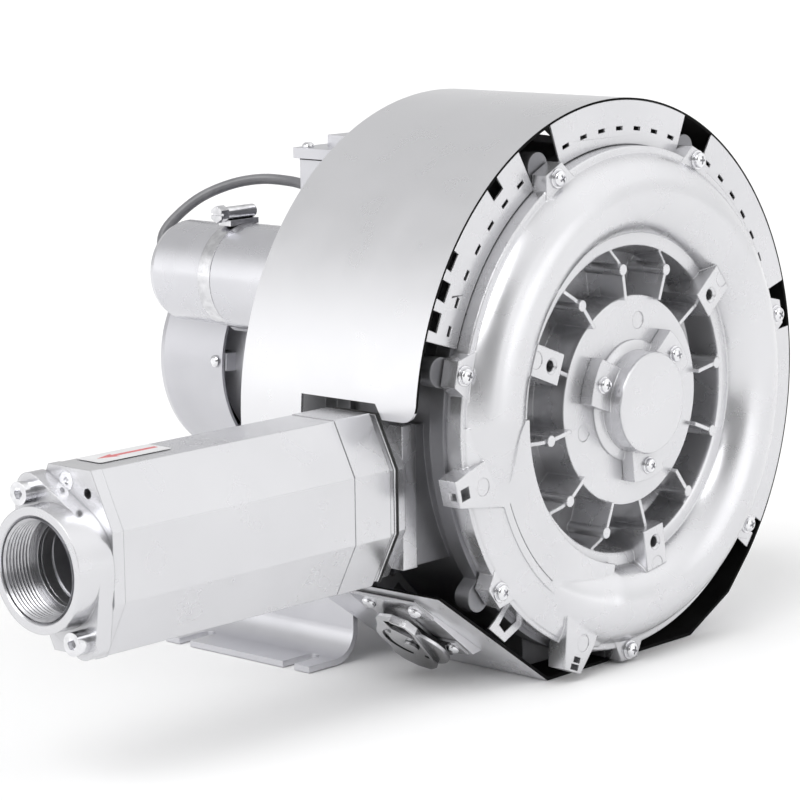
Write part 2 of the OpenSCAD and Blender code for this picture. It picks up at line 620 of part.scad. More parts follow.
module port_flange(face, y, z) {
  translate([0, y, z]) difference() {
    union() {
      x_plate(face - flange_t_port, face) port_outline();
      cross_bar(port_boss_r, face - port_l, face, 0, 0);
    }
    cross_bar(port_r, face - port_l - 1, face - 3, 0, 0);
    cross_bar(tube_r - 2, face - port_l, face + 1, 0, 0);
    translate([face - port_l, 0, 0]) rotate([0, 90, 0]) translate([0, 0, -eps])
      cylinder(r1 = port_r + 2, r2 = port_r, h = 2);
    x_plate(face - port_l, face + 1) port_bolts() circle(flange_bolt_r + 0.3);
  }
}
module port_screws(face, y, z) {
  translate([face - flange_t_port, y, z]) for (s = [-1, 1])
    translate([0, s * port_bolt_at * cos(port_turn), s * port_bolt_at * sin(port_turn)])
      rotate([0, 0, -90]) socket_screw(0, 6.6, 8, flange_bolt_r - 0.6, flange_t_port + 7, 3.4);
}
module outlet_port_flange() color([0.76, 0.76, 0.78]) port_flange(-silencer_reach, port_y, port_z);
module outlet_flange_screws() color([0.85, 0.85, 0.86]) port_screws(-silencer_reach, port_y, port_z);

// Inlet on the other side: a short branch with the same port flange
inlet_face = 206;
module inlet_manifold() color([0.74, 0.74, 0.76]) difference() {
  x_plate(bolt_r + 4, inlet_face) translate([inlet_y, inlet_z]) octagon(inlet_w, inlet_h, 34, 46);
  x_plate(bolt_r + 3, inlet_face - 9) translate([inlet_y, inlet_z]) octagon(inlet_w - 12, inlet_h - 12, 30, 42);
  cross_bar(tube_r - 2, inlet_face - 10, inlet_face + 1, inlet_y, inlet_z);
  mirror([1, 0, 0]) translate([0, inlet_y, inlet_z]) x_plate(-inlet_face - 1, -inlet_face + 8)
    port_bolts() circle(flange_bolt_r - 0.55);
}
module inlet_port_flange() color([0.76, 0.76, 0.78]) mirror([1, 0, 0]) port_flange(-inlet_face, inlet_y, inlet_z);
module inlet_flange_screws() color([0.85, 0.85, 0.86]) mirror([1, 0, 0]) port_screws(-inlet_face, inlet_y, inlet_z);

// Motor
housing_in = motor_r - 9;
housing_out = motor_r - 5;
drive_bearing_r = 31;
rod_at = motor_r - 3.8;
fin_free = 17;
cradle_turn = atan2(cap_z, cap_x);
box_seat = motor_r + 3;
foot_top = -motor_r - 5;
module rod_holes(y0, y1) {
  for (i = [0:3]) around(45 + 90 * i) bar(2.7, y0, y1, rod_at, 0);
}
module motor_front_shield() color([0.72, 0.73, 0.75]) difference() {
  union() {
    tube(motor_r, shaft_r + 6, rear_face, rear_face + 7);
    tube(motor_r, housing_in, rear_face, housing_0);
    tube(drive_bearing_r + 6, drive_bearing_r, rear_face, housing_0 - 1);
  }
  rod_holes(rear_face - 1, housing_0 + 1);
  tube(drive_bearing_r, 1, rear_face + 2, housing_0);
}
module motor_housing() color([0.72, 0.73, 0.75]) difference() {
  union() {
    tube(housing_out, housing_in, housing_0, housing_1);
    for (i = [0:fin_count - 1]) let (a = (i + 0.5) * 360 / fin_count)
      if (abs(a - cradle_turn) > fin_free && abs(a - 90) > 30 && abs(a - 270) > 36)
        around(a) block(housing_out - 1, motor_r, housing_0, housing_1, -1, 1);
    block(-34, 34, housing_0, box_1 - 4, housing_out - 12, box_seat);
    for (s = [-1, 1]) block(s * 34 - 9, s * 34 + 9, housing_0 + 4, housing_1 - 6, foot_top, -housing_in + 16);
  }
  bar(housing_in, housing_0 - 1, housing_1 + 1);
  rod_holes(housing_0 - 1, housing_1 + 1);
  translate([0, housing_0 + 30, housing_in - 5]) cylinder(r = 12, h = 30);
  for (s = [-1, 1]) for (y = foot_screw_y) translate([s * 34, y, foot_top - 1]) cylinder(r = 2.8, h = 11);
}
module motor_rear_shield() color([0.72, 0.73, 0.75]) difference() {
  union() {
    tube(housing_out, housing_in, housing_1, housing_1 + rear_shield_l);
    tube(housing_in + 1, bearing_r, housing_1 + 3, housing_1 + 10);
    tube(bearing_r + 6, bearing_r, housing_1, housing_1 + rear_shield_l - 4);
    tube(bearing_r + 6, tail_r + 3, tail_bearing_0 + bearing_w, housing_1 + rear_shield_l - 3);
    for (i = [0:3]) around(45 + 90 * i) block(housing_in + 1, motor_r, housing_1, housing_1 + rear_shield_l, -5, 5);
    for (a = cowl_screw_turns) around(a)
      block(housing_in + 1, cowl_r - cowl_t - 0.4, housing_1 + 12, housing_1 + rear_shield_l, -6, 6);
  }
  rod_holes(housing_1 - 1, housing_1 + rear_shield_l + 1);
  for (a = cowl_screw_turns) around(a)
    translate([cowl_r + 1, cowl_0 + 6, 0]) rotate([0, 0, 90]) bar(2, -1, 12);
}
module motor_tie_rods() color([0.8, 0.8, 0.82])
  for (i = [0:3]) around(45 + 90 * i) translate([rod_at, 0, 0]) {
    bar(2.5, rear_face - 3.6, housing_1 + rear_shield_l);
    bar(4.2, housing_1 + rear_shield_l, housing_1 + rear_shield_l + 3.5);
  }
stator_in = 38.4;
module stator_core() color([0.35, 0.35, 0.37]) tube(housing_in, stator_in, core_0, core_0 + core_l);
module stator_windings() color([0.72, 0.4, 0.2]) {
  turned([[stator_in + 5, core_0], [stator_in + 4, core_0 - 7], [stator_in + 7, core_0 - 9],
          [housing_in - 6, core_0 - 9], [housing_in - 4, core_0 - 6], [housing_in - 4, core_0]]);
  turned(let (e = core_0 + core_l) [[stator_in + 5, e], [housing_in - 4, e], [housing_in - 4, e + 6],
          [housing_in - 6, e + 9], [stator_in + 7, e + 9], [stator_in + 4, e + 7]]);
}
module rotor_core() color([0.5, 0.5, 0.53]) {
  union() {
    tube(stator_in - 0.4, shaft_r + 4, core_0, core_0 + core_l);
    tube(stator_in - 2, stator_in - 14, core_0 - 5, core_0 + core_l + 5);
  }
}
module drive_end_bearing() color([0.6, 0.6, 0.62])
  ball_bearing(drive_bearing_r, drive_r + bearing_fit, rear_face + 2, 16);
module fan_end_bearing() color([0.6, 0.6, 0.62])
  ball_bearing(bearing_r, tail_r + bearing_fit, tail_bearing_0, bearing_w);
fan_r = cowl_r - 11;
module cooling_fan() color([0.2, 0.2, 0.22]) {
  tube(fan_seat_r + 6, fan_seat_r + 0.03, fan_0, fan_0 + fan_l);
  tube(fan_r, fan_seat_r + 5, fan_0 + 4, fan_0 + 7);
  for (i = [0:8]) around(i * 40) block(fan_seat_r + 5, fan_r, fan_0 + 6, fan_0 + fan_l - 2, -1.2, 1.2);
}
cowl_t = 2;
cowl_screw_turns = [176, 86, -4, -94];
module fan_cowl() color([0.76, 0.76, 0.79]) difference() {
  turned([[cowl_r - cowl_t, cowl_0], [cowl_r, cowl_0], [cowl_r, cowl_1 - 8], [cowl_r - 2.4, cowl_1 - 2.4],
          [cowl_r - 8, cowl_1], [0, cowl_1], [0, cowl_1 - cowl_t], [cowl_r - 9, cowl_1 - cowl_t],
          [cowl_r - 4, cowl_1 - 5], [cowl_r - cowl_t, cowl_1 - 10]]);
  for (k = [0:3]) for (i = [0:23]) around(i * 15 + 7.5 * (k % 2))
    block(14 + k * 12, 23 + k * 12, cowl_1 - cowl_t - 1, cowl_1 + 1, -1.4 - 0.3 * k, 1.4 + 0.3 * k);
  for (a = cowl_screw_turns) around(a) translate([cowl_r + 1, cowl_0 + 6, 0]) rotate([0, 0, 90]) bar(2.2, -1, 6);
}
module cowl_screws() color([0.86, 0.86, 0.87])
  for (a = cowl_screw_turns) around(a) translate([cowl_r, cowl_0 + 6, 0]) rotate([0, 0, 90])
    pan_screw(0, 4.2, 2.6, 2, 7);

// Terminal box on the motor
box_half = 46;
box_0 = 160;
box_1 = 238;
box_top = 141;
box_wall = 3;
lid_rise = 7;
gland_z = 122;
lead_x = -30;
module box_corners(z0, z1) {
  for (sx = [-1, 1]) for (sy = [0, 1])
    translate([sx * (box_half - 5) - 5, sy == 0 ? box_0 : box_1 - 10, z0]) cube([10, 10, z1 - z0]);
}
module box_holes(z0, z1, r) {
  for (sx = [-1, 1]) for (y = [box_0 + 4, box_1 - 4]) translate([sx * (box_half - 4), y, z0]) cylinder(r = r, h = z1 - z0);
}
module terminal_box() color([0.77, 0.77, 0.8]) difference() {
  block(-box_half, box_half, box_0, box_1, box_seat, box_top);
  difference() {
    block(-box_half + box_wall, box_half - box_wall, box_0 + box_wall, box_1 - box_wall, box_seat + box_wall, box_top + 1);
    box_corners(box_seat, box_top + 2);
  }
  box_holes(box_top - 9, box_top + 1, 2.15);
  translate([0, housing_0 + 30, box_seat - 1]) cylinder(r = 12, h = 10);
  bar(5.5, box_1 - 5, box_1 + 1, lead_x, gland_z);
  cross_bar(9, box_half - 5, box_half + 1, box_1 - 24, 104);
}
module lid_gasket() color([0.08, 0.08, 0.08]) difference() {
  block(-box_half, box_half, box_0, box_1, box_top, box_top + 1);
  difference() {
    block(-box_half + box_wall, box_half - box_wall, box_0 + box_wall, box_1 - box_wall, box_top - 1, box_top + 2);
    box_corners(box_top - 2, box_top + 3);
  }
  box_holes(box_top - 1, box_top + 2, 2.3);
}
module terminal_box_lid() color([0.77, 0.77, 0.8]) difference() {
  union() {
    block(-box_half - 3, box_half + 3, box_0 - 3, box_1 + 3, box_top + 1, box_top + 1 + lid_rise);
    block(-box_half + 12, box_half - 12, box_0 + 8, box_1 - 14, box_top + lid_rise, box_top + lid_rise + 9);
  }
  difference() {
    block(-box_half + box_wall, box_half - box_wall, box_0 + box_wall, box_1 - box_wall, box_top, box_top + lid_rise - 2);
    box_corners(box_top - 1, box_top + lid_rise);
  }
  box_holes(box_top, box_top + 20, 2.3);
}
module lid_screws() color([0.86, 0.86, 0.87])
  for (sx = [-1, 1]) for (y = [box_0 + 4, box_1 - 4]) translate([sx * (box_half - 4), y, box_top + 1 + lid_rise])
    rotate([-90, 0, 0]) pan_screw(0, 4.2, 3, 2.1, lid_rise + 8);
module terminal_block() color([0.15, 0.15, 0.16]) difference() {
  block(-24, 24, housing_0 + 44, housing_0 + 60, box_seat + box_wall, box_seat + box_wall + 16);
  for (i = [-2:2]) translate([i * 9, housing_0 + 52, box_seat + box_wall + 8]) cylinder(r = 2.6, h = 10);
}
module cable_gland() color([0.14, 0.14, 0.15]) {
  cross_bar(8.8, box_half - 6, box_half + 2, box_1 - 24, 104);
  translate([box_half, box_1 - 24, 104]) rotate([0, 90, 0]) cylinder(r = 13, h = 6, $fn = 6);
  cross_bar(11, box_half + 6, box_half + 14, box_1 - 24, 104);
}
lead_r = 3.5;
module lead_gland() color([0.14, 0.14, 0.15]) difference() {
  union() {
    bar(5.4, box_1 - 5, box_1 + 1, lead_x, gland_z);
    cone_bar(8, 5.4, box_1, box_1 + 9, lead_x, gland_z);
  }
  bar(lead_r + 0.1, box_1 - 6, box_1 + 10, lead_x, gland_z);
}

// Capacitor in its cradle, with a sleeve over its front end and a worm clamp
cap_0 = 174;
cap_1 = cap_0 + cap_l;
clamp_y = 247;
module capacitor() color([0.8, 0.8, 0.82]) translate([cap_x, 0, cap_z]) difference() {
  union() {
    turned([[0, cap_0 + 3], [cap_r - 1.5, cap_0 + 3], [cap_r - 1.5, cap_1 - 7], [cap_r - 3.4, cap_1 - 2.6],
            [cap_r - 8, cap_1 - 0.4], [cap_r - 14, cap_1], [0, cap_1]]);
    cone_bar(8, 5.4, cap_1 - eps, cap_1 + 6);
  }
  bar(lead_r, cap_1 - 3, cap_1 + 7);
}
module capacitor_cap() color([0.78, 0.78, 0.8]) translate([cap_x, 0, cap_z])
  turned([[0, cap_0], [cap_r - 3, cap_0], [cap_r, cap_0 + 3], [cap_r, clamp_y - 6.5], [cap_r - 1.5, clamp_y - 6.5],
          [cap_r - 1.5, cap_0 + 3], [0, cap_0 + 3]]);
module capacitor_cradle() color([0.7, 0.7, 0.72]) {
  reach = norm([cap_x, cap_z]);
  difference() {
    plate(clamp_y - 16, clamp_y + 16) difference() {
      rotate(cradle_turn) union() {
        translate([housing_out - 6, -15]) square([reach - housing_out - cap_r + 16, 30]);
        translate([reach, 0]) intersection() {
          circle(cap_r + 5);
          translate([-cap_r - 8, -26]) square([cap_r - 6, 52]);
        }
      }
      circle(housing_out);
      translate([cap_x, cap_z]) circle(cap_r + 0.05);
    }
    translate([cap_x, 0, cap_z]) tube(cap_r + 2, cap_r - 3, clamp_y - 7, clamp_y + 7);
    around(135) bar(3, clamp_y - 20, clamp_y + 20, rod_at, 0);
  }
}
module clamp_band() color([0.75, 0.75, 0.77]) translate([cap_x, 0, cap_z]) {
  tube(cap_r - 0.5, cap_r - 1.5, clamp_y - 5.5, clamp_y + 5.5);
  block(-13.5, 12, clamp_y - 5.5, clamp_y + 5.5, cap_r - 1, cap_r + 2.8);
  difference() {
    tube(cap_r + 0.6, cap_r - 0.5 - eps, clamp_y - 4.5, clamp_y + 4.5);
    plate(clamp_y - 6, clamp_y + 6) polygon(sector(100, 432, 60));
    for (i = [0:5]) around(74 + i * 5) block(cap_r - 0.2, cap_r + 2, clamp_y - 3, clamp_y + 3, -0.5, 0.5);
  }
}
module clamp_screw() color([0.8, 0.8, 0.82]) translate([cap_x, clamp_y, cap_z + cap_r + 7]) {
  cross_bar(4.2, -14, 12);
  translate([-21, 0, 0]) rotate([0, 90, 0]) difference() {
    cylinder(r = 5.6, h = 7, $fn = 6);
    translate([-0.7, -6, -1]) cube([1.4, 12, 3]);
  }
}

// Lead from the terminal box to the capacitor
lead_points = [[-30, 236, 122], [-30, 247, 122], [-31, 262, 124], [-38, 281, 125], [-51, 296, 122],
               [-66, 310, 114], [-79, 320, 102], [-88, 325, 90], [-93, 321, 77], [-94, 314, 70],
               [-94, 308, 69], [-94, 300, 69]];
lead_sides = 10;
lead_steps = 3;
function hermite(a, b, c, d, t) = 0.5 * ((2 * b) + (c - a) * t + (2 * a - 5 * b + 4 * c - d) * t * t
                                         + (3 * b - a - 3 * c + d) * t * t * t);
function on_route(p, i) = p[max(0, min(len(p) - 1, i))];
function route(p, k) = [for (i = [0:len(p) - 2]) for (j = [0:k - 1])
  hermite(on_route(p, i - 1), p[i], p[i + 1], on_route(p, i + 2), j / k), p[len(p) - 1]];
function ring_at(c, d, r, n) = let (s = unit(cross(d, [0.3, 0.1, 1])), u = cross(s, unit(d)))
  [for (j = [0:n - 1]) c + r * (cos(360 * j / n) * s + sin(360 * j / n) * u)];
module cord_tube(p, r, n) {
  last = len(p) - 1;
  rings = [for (i = [0:last]) ring_at(p[i], p[min(i + 1, last)] - p[max(i - 1, 0)], r, n)];
  polyhedron([for (ring = rings) each ring],
    concat([[for (j = [n - 1:-1:0]) j]],
           [for (i = [0:last - 1]) for (j = [0:n - 1])
             [i * n + j, i * n + (j + 1) % n, (i + 1) * n + (j + 1) % n, (i + 1) * n + j]],
           [[for (j = [0:n - 1]) last * n + j]]));
}
module capacitor_lead() color([0.45, 0.45, 0.46]) cord_tube(route(lead_points, lead_steps), lead_r, lead_sides);

// Foot: a bent sheet under the motor with open slots
foot_0 = rear_face + 1;
foot_bend = 20;
web_x = 106;
slot_end = 128;
foot_screw_y = [housing_0 + 16, housing_1 - 20];
module foot_half_profile() {
  floor_z = -axis_height;
  translate([-foot_half, floor_z]) square([foot_half - web_x - foot_bend + foot_t / 2, foot_t]);
  translate([-web_x - foot_bend + foot_t / 2, floor_z + foot_bend]) intersection() {
    difference() {
      circle(foot_bend);
      circle(foot_bend - foot_t);
    }
    translate([0, -foot_bend]) square(foot_bend);
  }
  translate([-web_x - foot_t / 2, floor_z + foot_bend]) square([foot_t, foot_top - foot_bend * 2 - floor_z]);
  translate([-web_x + foot_bend - foot_t / 2, foot_top - foot_bend]) intersection() {
    difference() {
      circle(foot_bend);
      circle(foot_bend - foot_t);
    }
    translate([-foot_bend, 0]) square(foot_bend);
  }
  translate([-web_x + foot_bend - foot_t / 2, foot_top - foot_t]) square([web_x - foot_bend + foot_t / 2, foot_t]);
}
module foot_bracket() color([0.72, 0.72, 0.74]) difference() {
  plate(foot_0, foot_0 + foot_l) {
    foot_half_profile();
    mirror([1, 0]) foot_half_profile();
  }
  for (s = [-1, 1]) for (y = [foot_0 + 18, foot_0 + foot_l - 18]) {
    translate([s * slot_end, y, -axis_height - 1]) cylinder(r = slot_w / 2, h = foot_t + 2);
    translate([s * (slot_end + 30) - 30, y - slot_w / 2, -axis_height - 1]) cube([60, slot_w, foot_t + 2]);
  }
  for (s = [-1, 1]) for (y = foot_screw_y) translate([s * 34, y, foot_top - foot_t - 1]) cylinder(r = 3.2, h = foot_t + 2);
}
module foot_screws() color([0.8, 0.8, 0.82])
  for (s = [-1, 1]) for (y = foot_screw_y) translate([s * 34, y, foot_top - foot_t]) rotate([90, 0, 0])
    pan_screw(0, 5, 3.4, 2.8, foot_t + 9, 6, 1);

// Turn latch on the sloped side of the hood
pivot_u = 77;
pivot_y = 72;
slot_at = 18;
plate_out = 6;
plate_t = 2;
pivot_r = 3;
module on_facet() {
  translate([-hood_r, 0, facet_top]) rotate([0, latch_turn, 0]) children();
}
// A flat piece drawn in (down the slope, along the shaft), between two heights over the sheet
module facet_plate(h0, h1) {
  on_facet() translate([0, 0, -h1]) linear_extrude(h1 - h0) children();
}
latch_screw_places = [[34, 80], [36, 44], [84, 47]];
module latch_base() color([0.78, 0.78, 0.8]) {
  facet_plate(0, 2) difference() {
    union() {
      translate([25, 36]) square([20, 54]);
      translate([40, pivot_y - 15]) square([58, 28]);
      translate([76, 40]) square([16, 24]);
    }
    for (p = latch_screw_places) translate(p) circle(2.3);
    translate([pivot_u, pivot_y]) circle(pivot_r);
  }
  facet_plate(2 - eps, plate_out + plate_t + 1) translate([pivot_u, pivot_y] + slot_at * [cos(150), sin(150)]) circle(1.7);
}
module latch_plate() color([0.8, 0.8, 0.82]) {
  facet_plate(plate_out, plate_out + plate_t) translate([pivot_u, pivot_y]) difference() {
    union() {
      circle(24.5);
      polygon([[-34, 6], [-39, 0], [-40, -11], [-35, -20], [-25, -21], [-8, -16], [8, -12], [22, -6], [33, 3],
               [38, 11], [36, 20], [29, 27], [20, 29], [8, 24], [-14, 20], [-24, 12]]);
    }
    circle(pivot_r + 0.06);
    difference() {
      circle(slot_at + 2.1);
      circle(slot_at - 2.1);
      polygon(sector(152, 393, 60));
    }
    for (a = [150, 35]) translate(slot_at * [cos(a), sin(a)]) circle(2.1);
    polygon([[-33, -12], [-24, -16], [-11, -12], [-9, -7], [-20, 3], [-31, 2]]);
    translate([17, -1]) circle(2.4);
  }
  facet_plate(plate_out + plate_t - eps, plate_out + plate_t + 3) translate([pivot_u, pivot_y])
    polygon([[-40, -11], [-35, -20], [-25, -21], [-8, -16], [8, -12], [22, -6],
             [20.8, -4.2], [7.2, -10.1], [-8.6, -13.9], [-24.6, -18.8], [-33.4, -18.2], [-37.9, -10.6]]);
}
module latch_pivot() color([0.7, 0.7, 0.72]) {
  facet_plate(0, plate_out + plate_t + 0.4) translate([pivot_u, pivot_y]) circle(pivot_r);
  facet_plate(2, plate_out - 0.3) translate([pivot_u, pivot_y]) difference() {
    circle(5.5);
    circle(pivot_r - eps);
  }
  facet_plate(plate_out + plate_t + 0.3, plate_out + plate_t + 2) translate([pivot_u, pivot_y]) circle(5);
}
module latch_screws() color([0.86, 0.86, 0.87])
  for (p = latch_screw_places) on_facet() translate([p[0], p[1], -2]) rotate([90, 0, 0])
    pan_screw(0, 4.6, 2.8, 2.2, 2 + hood_t + 2);

front_cover();
cover_screws();
bearing_cap();
bearing_cap_screws();
front_bearing();
centre_casing();
rear_casing();
casing_screws();
front_impeller();
rear_impeller();
impeller_spacer();
lock_nut();
shaft();
shaft_keys();
shaft_seal();
hood();
outlet_manifold();
silencer_gasket();
silencer_adaptor();
silencer_body();
silencer_liner();
silencer_tube();
silencer_end_plate();
end_plate_screw();
outlet_port_flange();
outlet_flange_screws();
inlet_manifold();
inlet_port_flange();
inlet_flange_screws();
motor_front_shield();
motor_housing();
motor_rear_shield();
motor_tie_rods();
stator_core();
stator_windings();
rotor_core();
drive_end_bearing();
fan_end_bearing();
cooling_fan();
fan_cowl();
cowl_screws();
terminal_box();
terminal_box_lid();
lid_gasket();
lid_screws();
terminal_block();
cable_gland();
lead_gland();
capacitor();
capacitor_cap();
capacitor_cradle();
clamp_band();
clamp_screw();
capacitor_lead();
foot_bracket();
foot_screws();
latch_base();
latch_plate();
latch_pivot();
latch_screws();
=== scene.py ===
import math

import bmesh
import bpy
from mathutils import Matrix, Vector
from mathutils.geometry import tessellate_polygon


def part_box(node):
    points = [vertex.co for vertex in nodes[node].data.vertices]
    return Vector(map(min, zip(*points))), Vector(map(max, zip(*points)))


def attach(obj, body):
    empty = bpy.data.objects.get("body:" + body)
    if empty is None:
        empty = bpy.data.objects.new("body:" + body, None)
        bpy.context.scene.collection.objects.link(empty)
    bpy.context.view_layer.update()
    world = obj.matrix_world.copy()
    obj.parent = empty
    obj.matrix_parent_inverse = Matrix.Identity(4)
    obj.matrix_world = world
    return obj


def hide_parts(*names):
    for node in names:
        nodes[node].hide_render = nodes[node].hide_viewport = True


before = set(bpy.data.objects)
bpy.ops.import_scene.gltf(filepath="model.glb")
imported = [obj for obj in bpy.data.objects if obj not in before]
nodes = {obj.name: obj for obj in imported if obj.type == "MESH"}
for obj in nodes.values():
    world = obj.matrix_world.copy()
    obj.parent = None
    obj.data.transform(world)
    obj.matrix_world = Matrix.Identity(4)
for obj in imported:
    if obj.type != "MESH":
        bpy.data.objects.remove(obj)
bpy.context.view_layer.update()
MM = 0.001

# Camera
# The blower is seen from its front left, from a little above the shaft, through a
# long lens, so that the silencer comes towards the viewer.
CAMERA_AZIMUTH = math.radians(-47.682)
CAMERA_ELEVATION = math.radians(9.890)
CAMERA_ROLL = math.radians(-0.831)
CAMERA_DISTANCE = 1.78416
CAMERA_TARGET = Vector((-0.21344, 0.0, 0.02960))
LENS = 140.5

towards_camera = Vector((
    math.sin(CAMERA_AZIMUTH) * math.cos(CAMERA_ELEVATION),
    -math.cos(CAMERA_AZIMUTH) * math.cos(CAMERA_ELEVATION),
    math.sin(CAMERA_ELEVATION),
))
level_right = Vector((math.cos(CAMERA_AZIMUTH), math.sin(CAMERA_AZIMUTH), 0.0))
level_up = towards_camera.cross(level_right)
camera_right = level_right * math.cos(CAMERA_ROLL) + level_up * math.sin(CAMERA_ROLL)
camera_up = level_up * math.cos(CAMERA_ROLL) - level_right * math.sin(CAMERA_ROLL)
camera_data = bpy.data.cameras.new("photo_camera")
camera_data.lens = LENS
camera_data.sensor_width = 36.0
camera_data.clip_end = 50.0
camera = bpy.data.objects.new("photo_camera", camera_data)
bpy.context.scene.collection.objects.link(camera)
turn = Matrix((camera_right, camera_up, towards_camera)).transposed().to_4x4()
camera.matrix_world = Matrix.Translation(CAMERA_TARGET + towards_camera * CAMERA_DISTANCE) @ turn
bpy.context.scene.camera = camera

# Capacitor lead
# A round two-core lead in a grey jacket. It leaves the gland in the back of the terminal
# box, arches behind the motor and goes into the collar in the capacitor's end.
LEAD_ROUTE = [
    (-30, 236, 122), (-30, 247, 122), (-31, 262, 124), (-38, 281, 125), (-51, 296, 122),
    (-66, 310, 114), (-79, 320, 102), (-88, 325, 90), (-93, 321, 77), (-94, 314, 70),
    (-94, 308, 69), (-94, 300, 69),
]
LEAD_RADIUS = 3.5
LEAD_STEPS = 5


def smooth_route(points, steps):
    """Catmull-Rom points through the route, in metres."""
    points = [Vector(p) * MM for p in points]
    out = []
    for i in range(len(points) - 1):
        a = points[max(i - 1, 0)]
        b = points[i]
        c = points[i + 1]
        d = points[min(i + 2, len(points) - 1)]
        for j in range(steps):
            t = j / steps
            out.append(0.5 * (
                2 * b + (c - a) * t + (2 * a - 5 * b + 4 * c - d) * t * t
                + (3 * b - a - 3 * c + d) * t * t * t
            ))
    out.append(points[-1])
    return out


def link_mesh(name, verts, faces, smooth=True):
    """A new mesh object from plain vertices and faces."""
    mesh = bpy.data.meshes.new(name)
    mesh.from_pydata([tuple(v) for v in verts], [], faces)
    mesh.update()
    for polygon in mesh.polygons:
        polygon.use_smooth = smooth
    made = bpy.data.objects.new(name, mesh)
    bpy.context.scene.collection.objects.link(made)
    return made


def shader(name, metal, rough, coat=0.0, sheen=0.0, coat_rough=0.1):
    """A new material and its shader, with the sockets set that all finishes share."""
    material = bpy.data.materials.new(name)
    material.use_nodes = True
    tree = material.node_tree
    surface = tree.nodes["Principled BSDF"]
    surface.inputs["Metallic"].default_value = metal
    surface.inputs["Roughness"].default_value = rough
    surface.inputs["Coat Weight"].default_value = coat
    surface.inputs["Coat Roughness"].default_value = coat_rough
    surface.inputs["Sheen Weight"].default_value = sheen
    return material, tree, surface


def clouds(tree, scale, detail=4.0, stretch=(1, 1, 1)):
    """A noise texture in object space, stretched along the given axes."""
    place = tree.nodes.new("ShaderNodeTexCoord")
    mapping = tree.nodes.new("ShaderNodeMapping")
    mapping.inputs["Scale"].default_value = stretch
    noise = tree.nodes.new("ShaderNodeTexNoise")
    noise.inputs["Scale"].default_value = scale
    noise.inputs["Detail"].default_value = detail
    tree.links.new(place.outputs["Object"], mapping.inputs["Vector"])
    tree.links.new(mapping.outputs["Vector"], noise.inputs["Vector"])
    return noise.outputs["Fac"]


def vary(tree, fac, low, high, socket, spread=(0.35, 0.65)):
    """Spreads a noise between two colours or two numbers into a shader's socket."""
    ramp = tree.nodes.new("ShaderNodeValToRGB")
    ramp.color_ramp.elements[0].position = spread[0]
    ramp.color_ramp.elements[1].position = spread[1]
    tree.links.new(fac, ramp.inputs["Fac"])
    if isinstance(low, (int, float)):
        low, high = (low,) * 3, (high,) * 3
    ramp.color_ramp.elements[0].color = (*low, 1)
    ramp.color_ramp.elements[1].color = (*high, 1)
    tree.links.new(ramp.outputs["Color"], socket)


def roughen(tree, fac, depth, surface, strength=1.0, edge=0.0):
    """Bumps a surface by a noise, over edges that are rounded by the given radius."""
    bump = tree.nodes.new("ShaderNodeBump")
    bump.inputs["Distance"].default_value = depth
    bump.inputs["Strength"].default_value = strength
    tree.links.new(fac, bump.inputs["Height"])
    if edge:
        round_edge = tree.nodes.new("ShaderNodeBevel")
        round_edge.samples = 4
        round_edge.inputs["Radius"].default_value = edge
        tree.links.new(round_edge.outputs["Normal"], bump.inputs["Normal"])
    tree.links.new(bump.outputs["Normal"], surface.inputs["Normal"])


def mottled(name, metal, rough, low, high, scale, grain_scale=0, grain=0.0, edge=0.0, detail=4.0,
            grain_detail=4.0, stretch=1, grain_stretch=1, **coats):
    """A material between two colours, with a fine grain; both may be stretched along Y."""
    material, tree, surface = shader(name, metal, rough, **coats)
    vary(tree, clouds(tree, scale, detail, (1, stretch, 1)), low, high, surface.inputs["Base Color"])
    if grain_scale:
        fine = clouds(tree, grain_scale, grain_detail, (1, grain_stretch, 1))
        roughen(tree, fine, grain, surface, edge=edge)
    return material


def matt(material):
    """Takes most of the shine off a material."""
    surface = material.node_tree.nodes["Principled BSDF"]
    surface.inputs["Specular IOR Level"].default_value = 0.1
    return material


def finish_nodes(material, *names):
    """Puts a material on carried-over CAD nodes."""
    for node_name in names:
        for place in nodes[node_name].material_slots:
            place.material = material


def swept_tube(name, path, radius, sides):
    """A round tube along a path, closed at both ends."""
    verts = []
    faces = []
    across = Vector((0.3, 0.1, 1.0))
    for i, point in enumerate(path):
        along = (path[min(i + 1, len(path) - 1)] - path[max(i - 1, 0)]).normalized()
        side = along.cross(across).normalized()
        other = side.cross(along)
        across = other
        for j in range(sides):
            angle = 2 * math.pi * j / sides
            verts.append(point + radius * (math.cos(angle) * side + math.sin(angle) * other))
    for i in range(len(path) - 1):
        for j in range(sides):
            k = (j + 1) % sides
            faces.append((i * sides + j, i * sides + k, (i + 1) * sides + k, (i + 1) * sides + j))
    faces.append(tuple(range(sides))[::-1])
    last = (len(path) - 1) * sides
    faces.append(tuple(range(last, last + sides)))
    return link_mesh(name, verts, faces)


lead_path = smooth_route(LEAD_ROUTE, LEAD_STEPS)
lead = swept_tube("lead_jacket", lead_path, LEAD_RADIUS * MM, sides=20)
lead.data.materials.append(mottled(
    "grey_jacket", 0.0, 0.38, (0.16, 0.16, 0.17), (0.22, 0.22, 0.23), scale=60,
    grain_scale=900, grain=0.00008, coat=0.3, coat_rough=0.25))
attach(lead, "blower")
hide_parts("capacitor_lead")

# Shaft, keys, spacer and lock nut
# Turned steel with a ground finish. The impellers are keyed to it and clamped between
# a shoulder and the lock nut.
ground_steel = mottled("ground_steel", 1.0, 0.28, (0.42, 0.42, 0.44), (0.55, 0.55, 0.57), scale=300,
                       grain_scale=700, grain=0.00004, edge=0.0004, stretch=12, grain_stretch=14)
finish_nodes(ground_steel, "shaft", "shaft_keys", "impeller_spacer", "lock_nut")

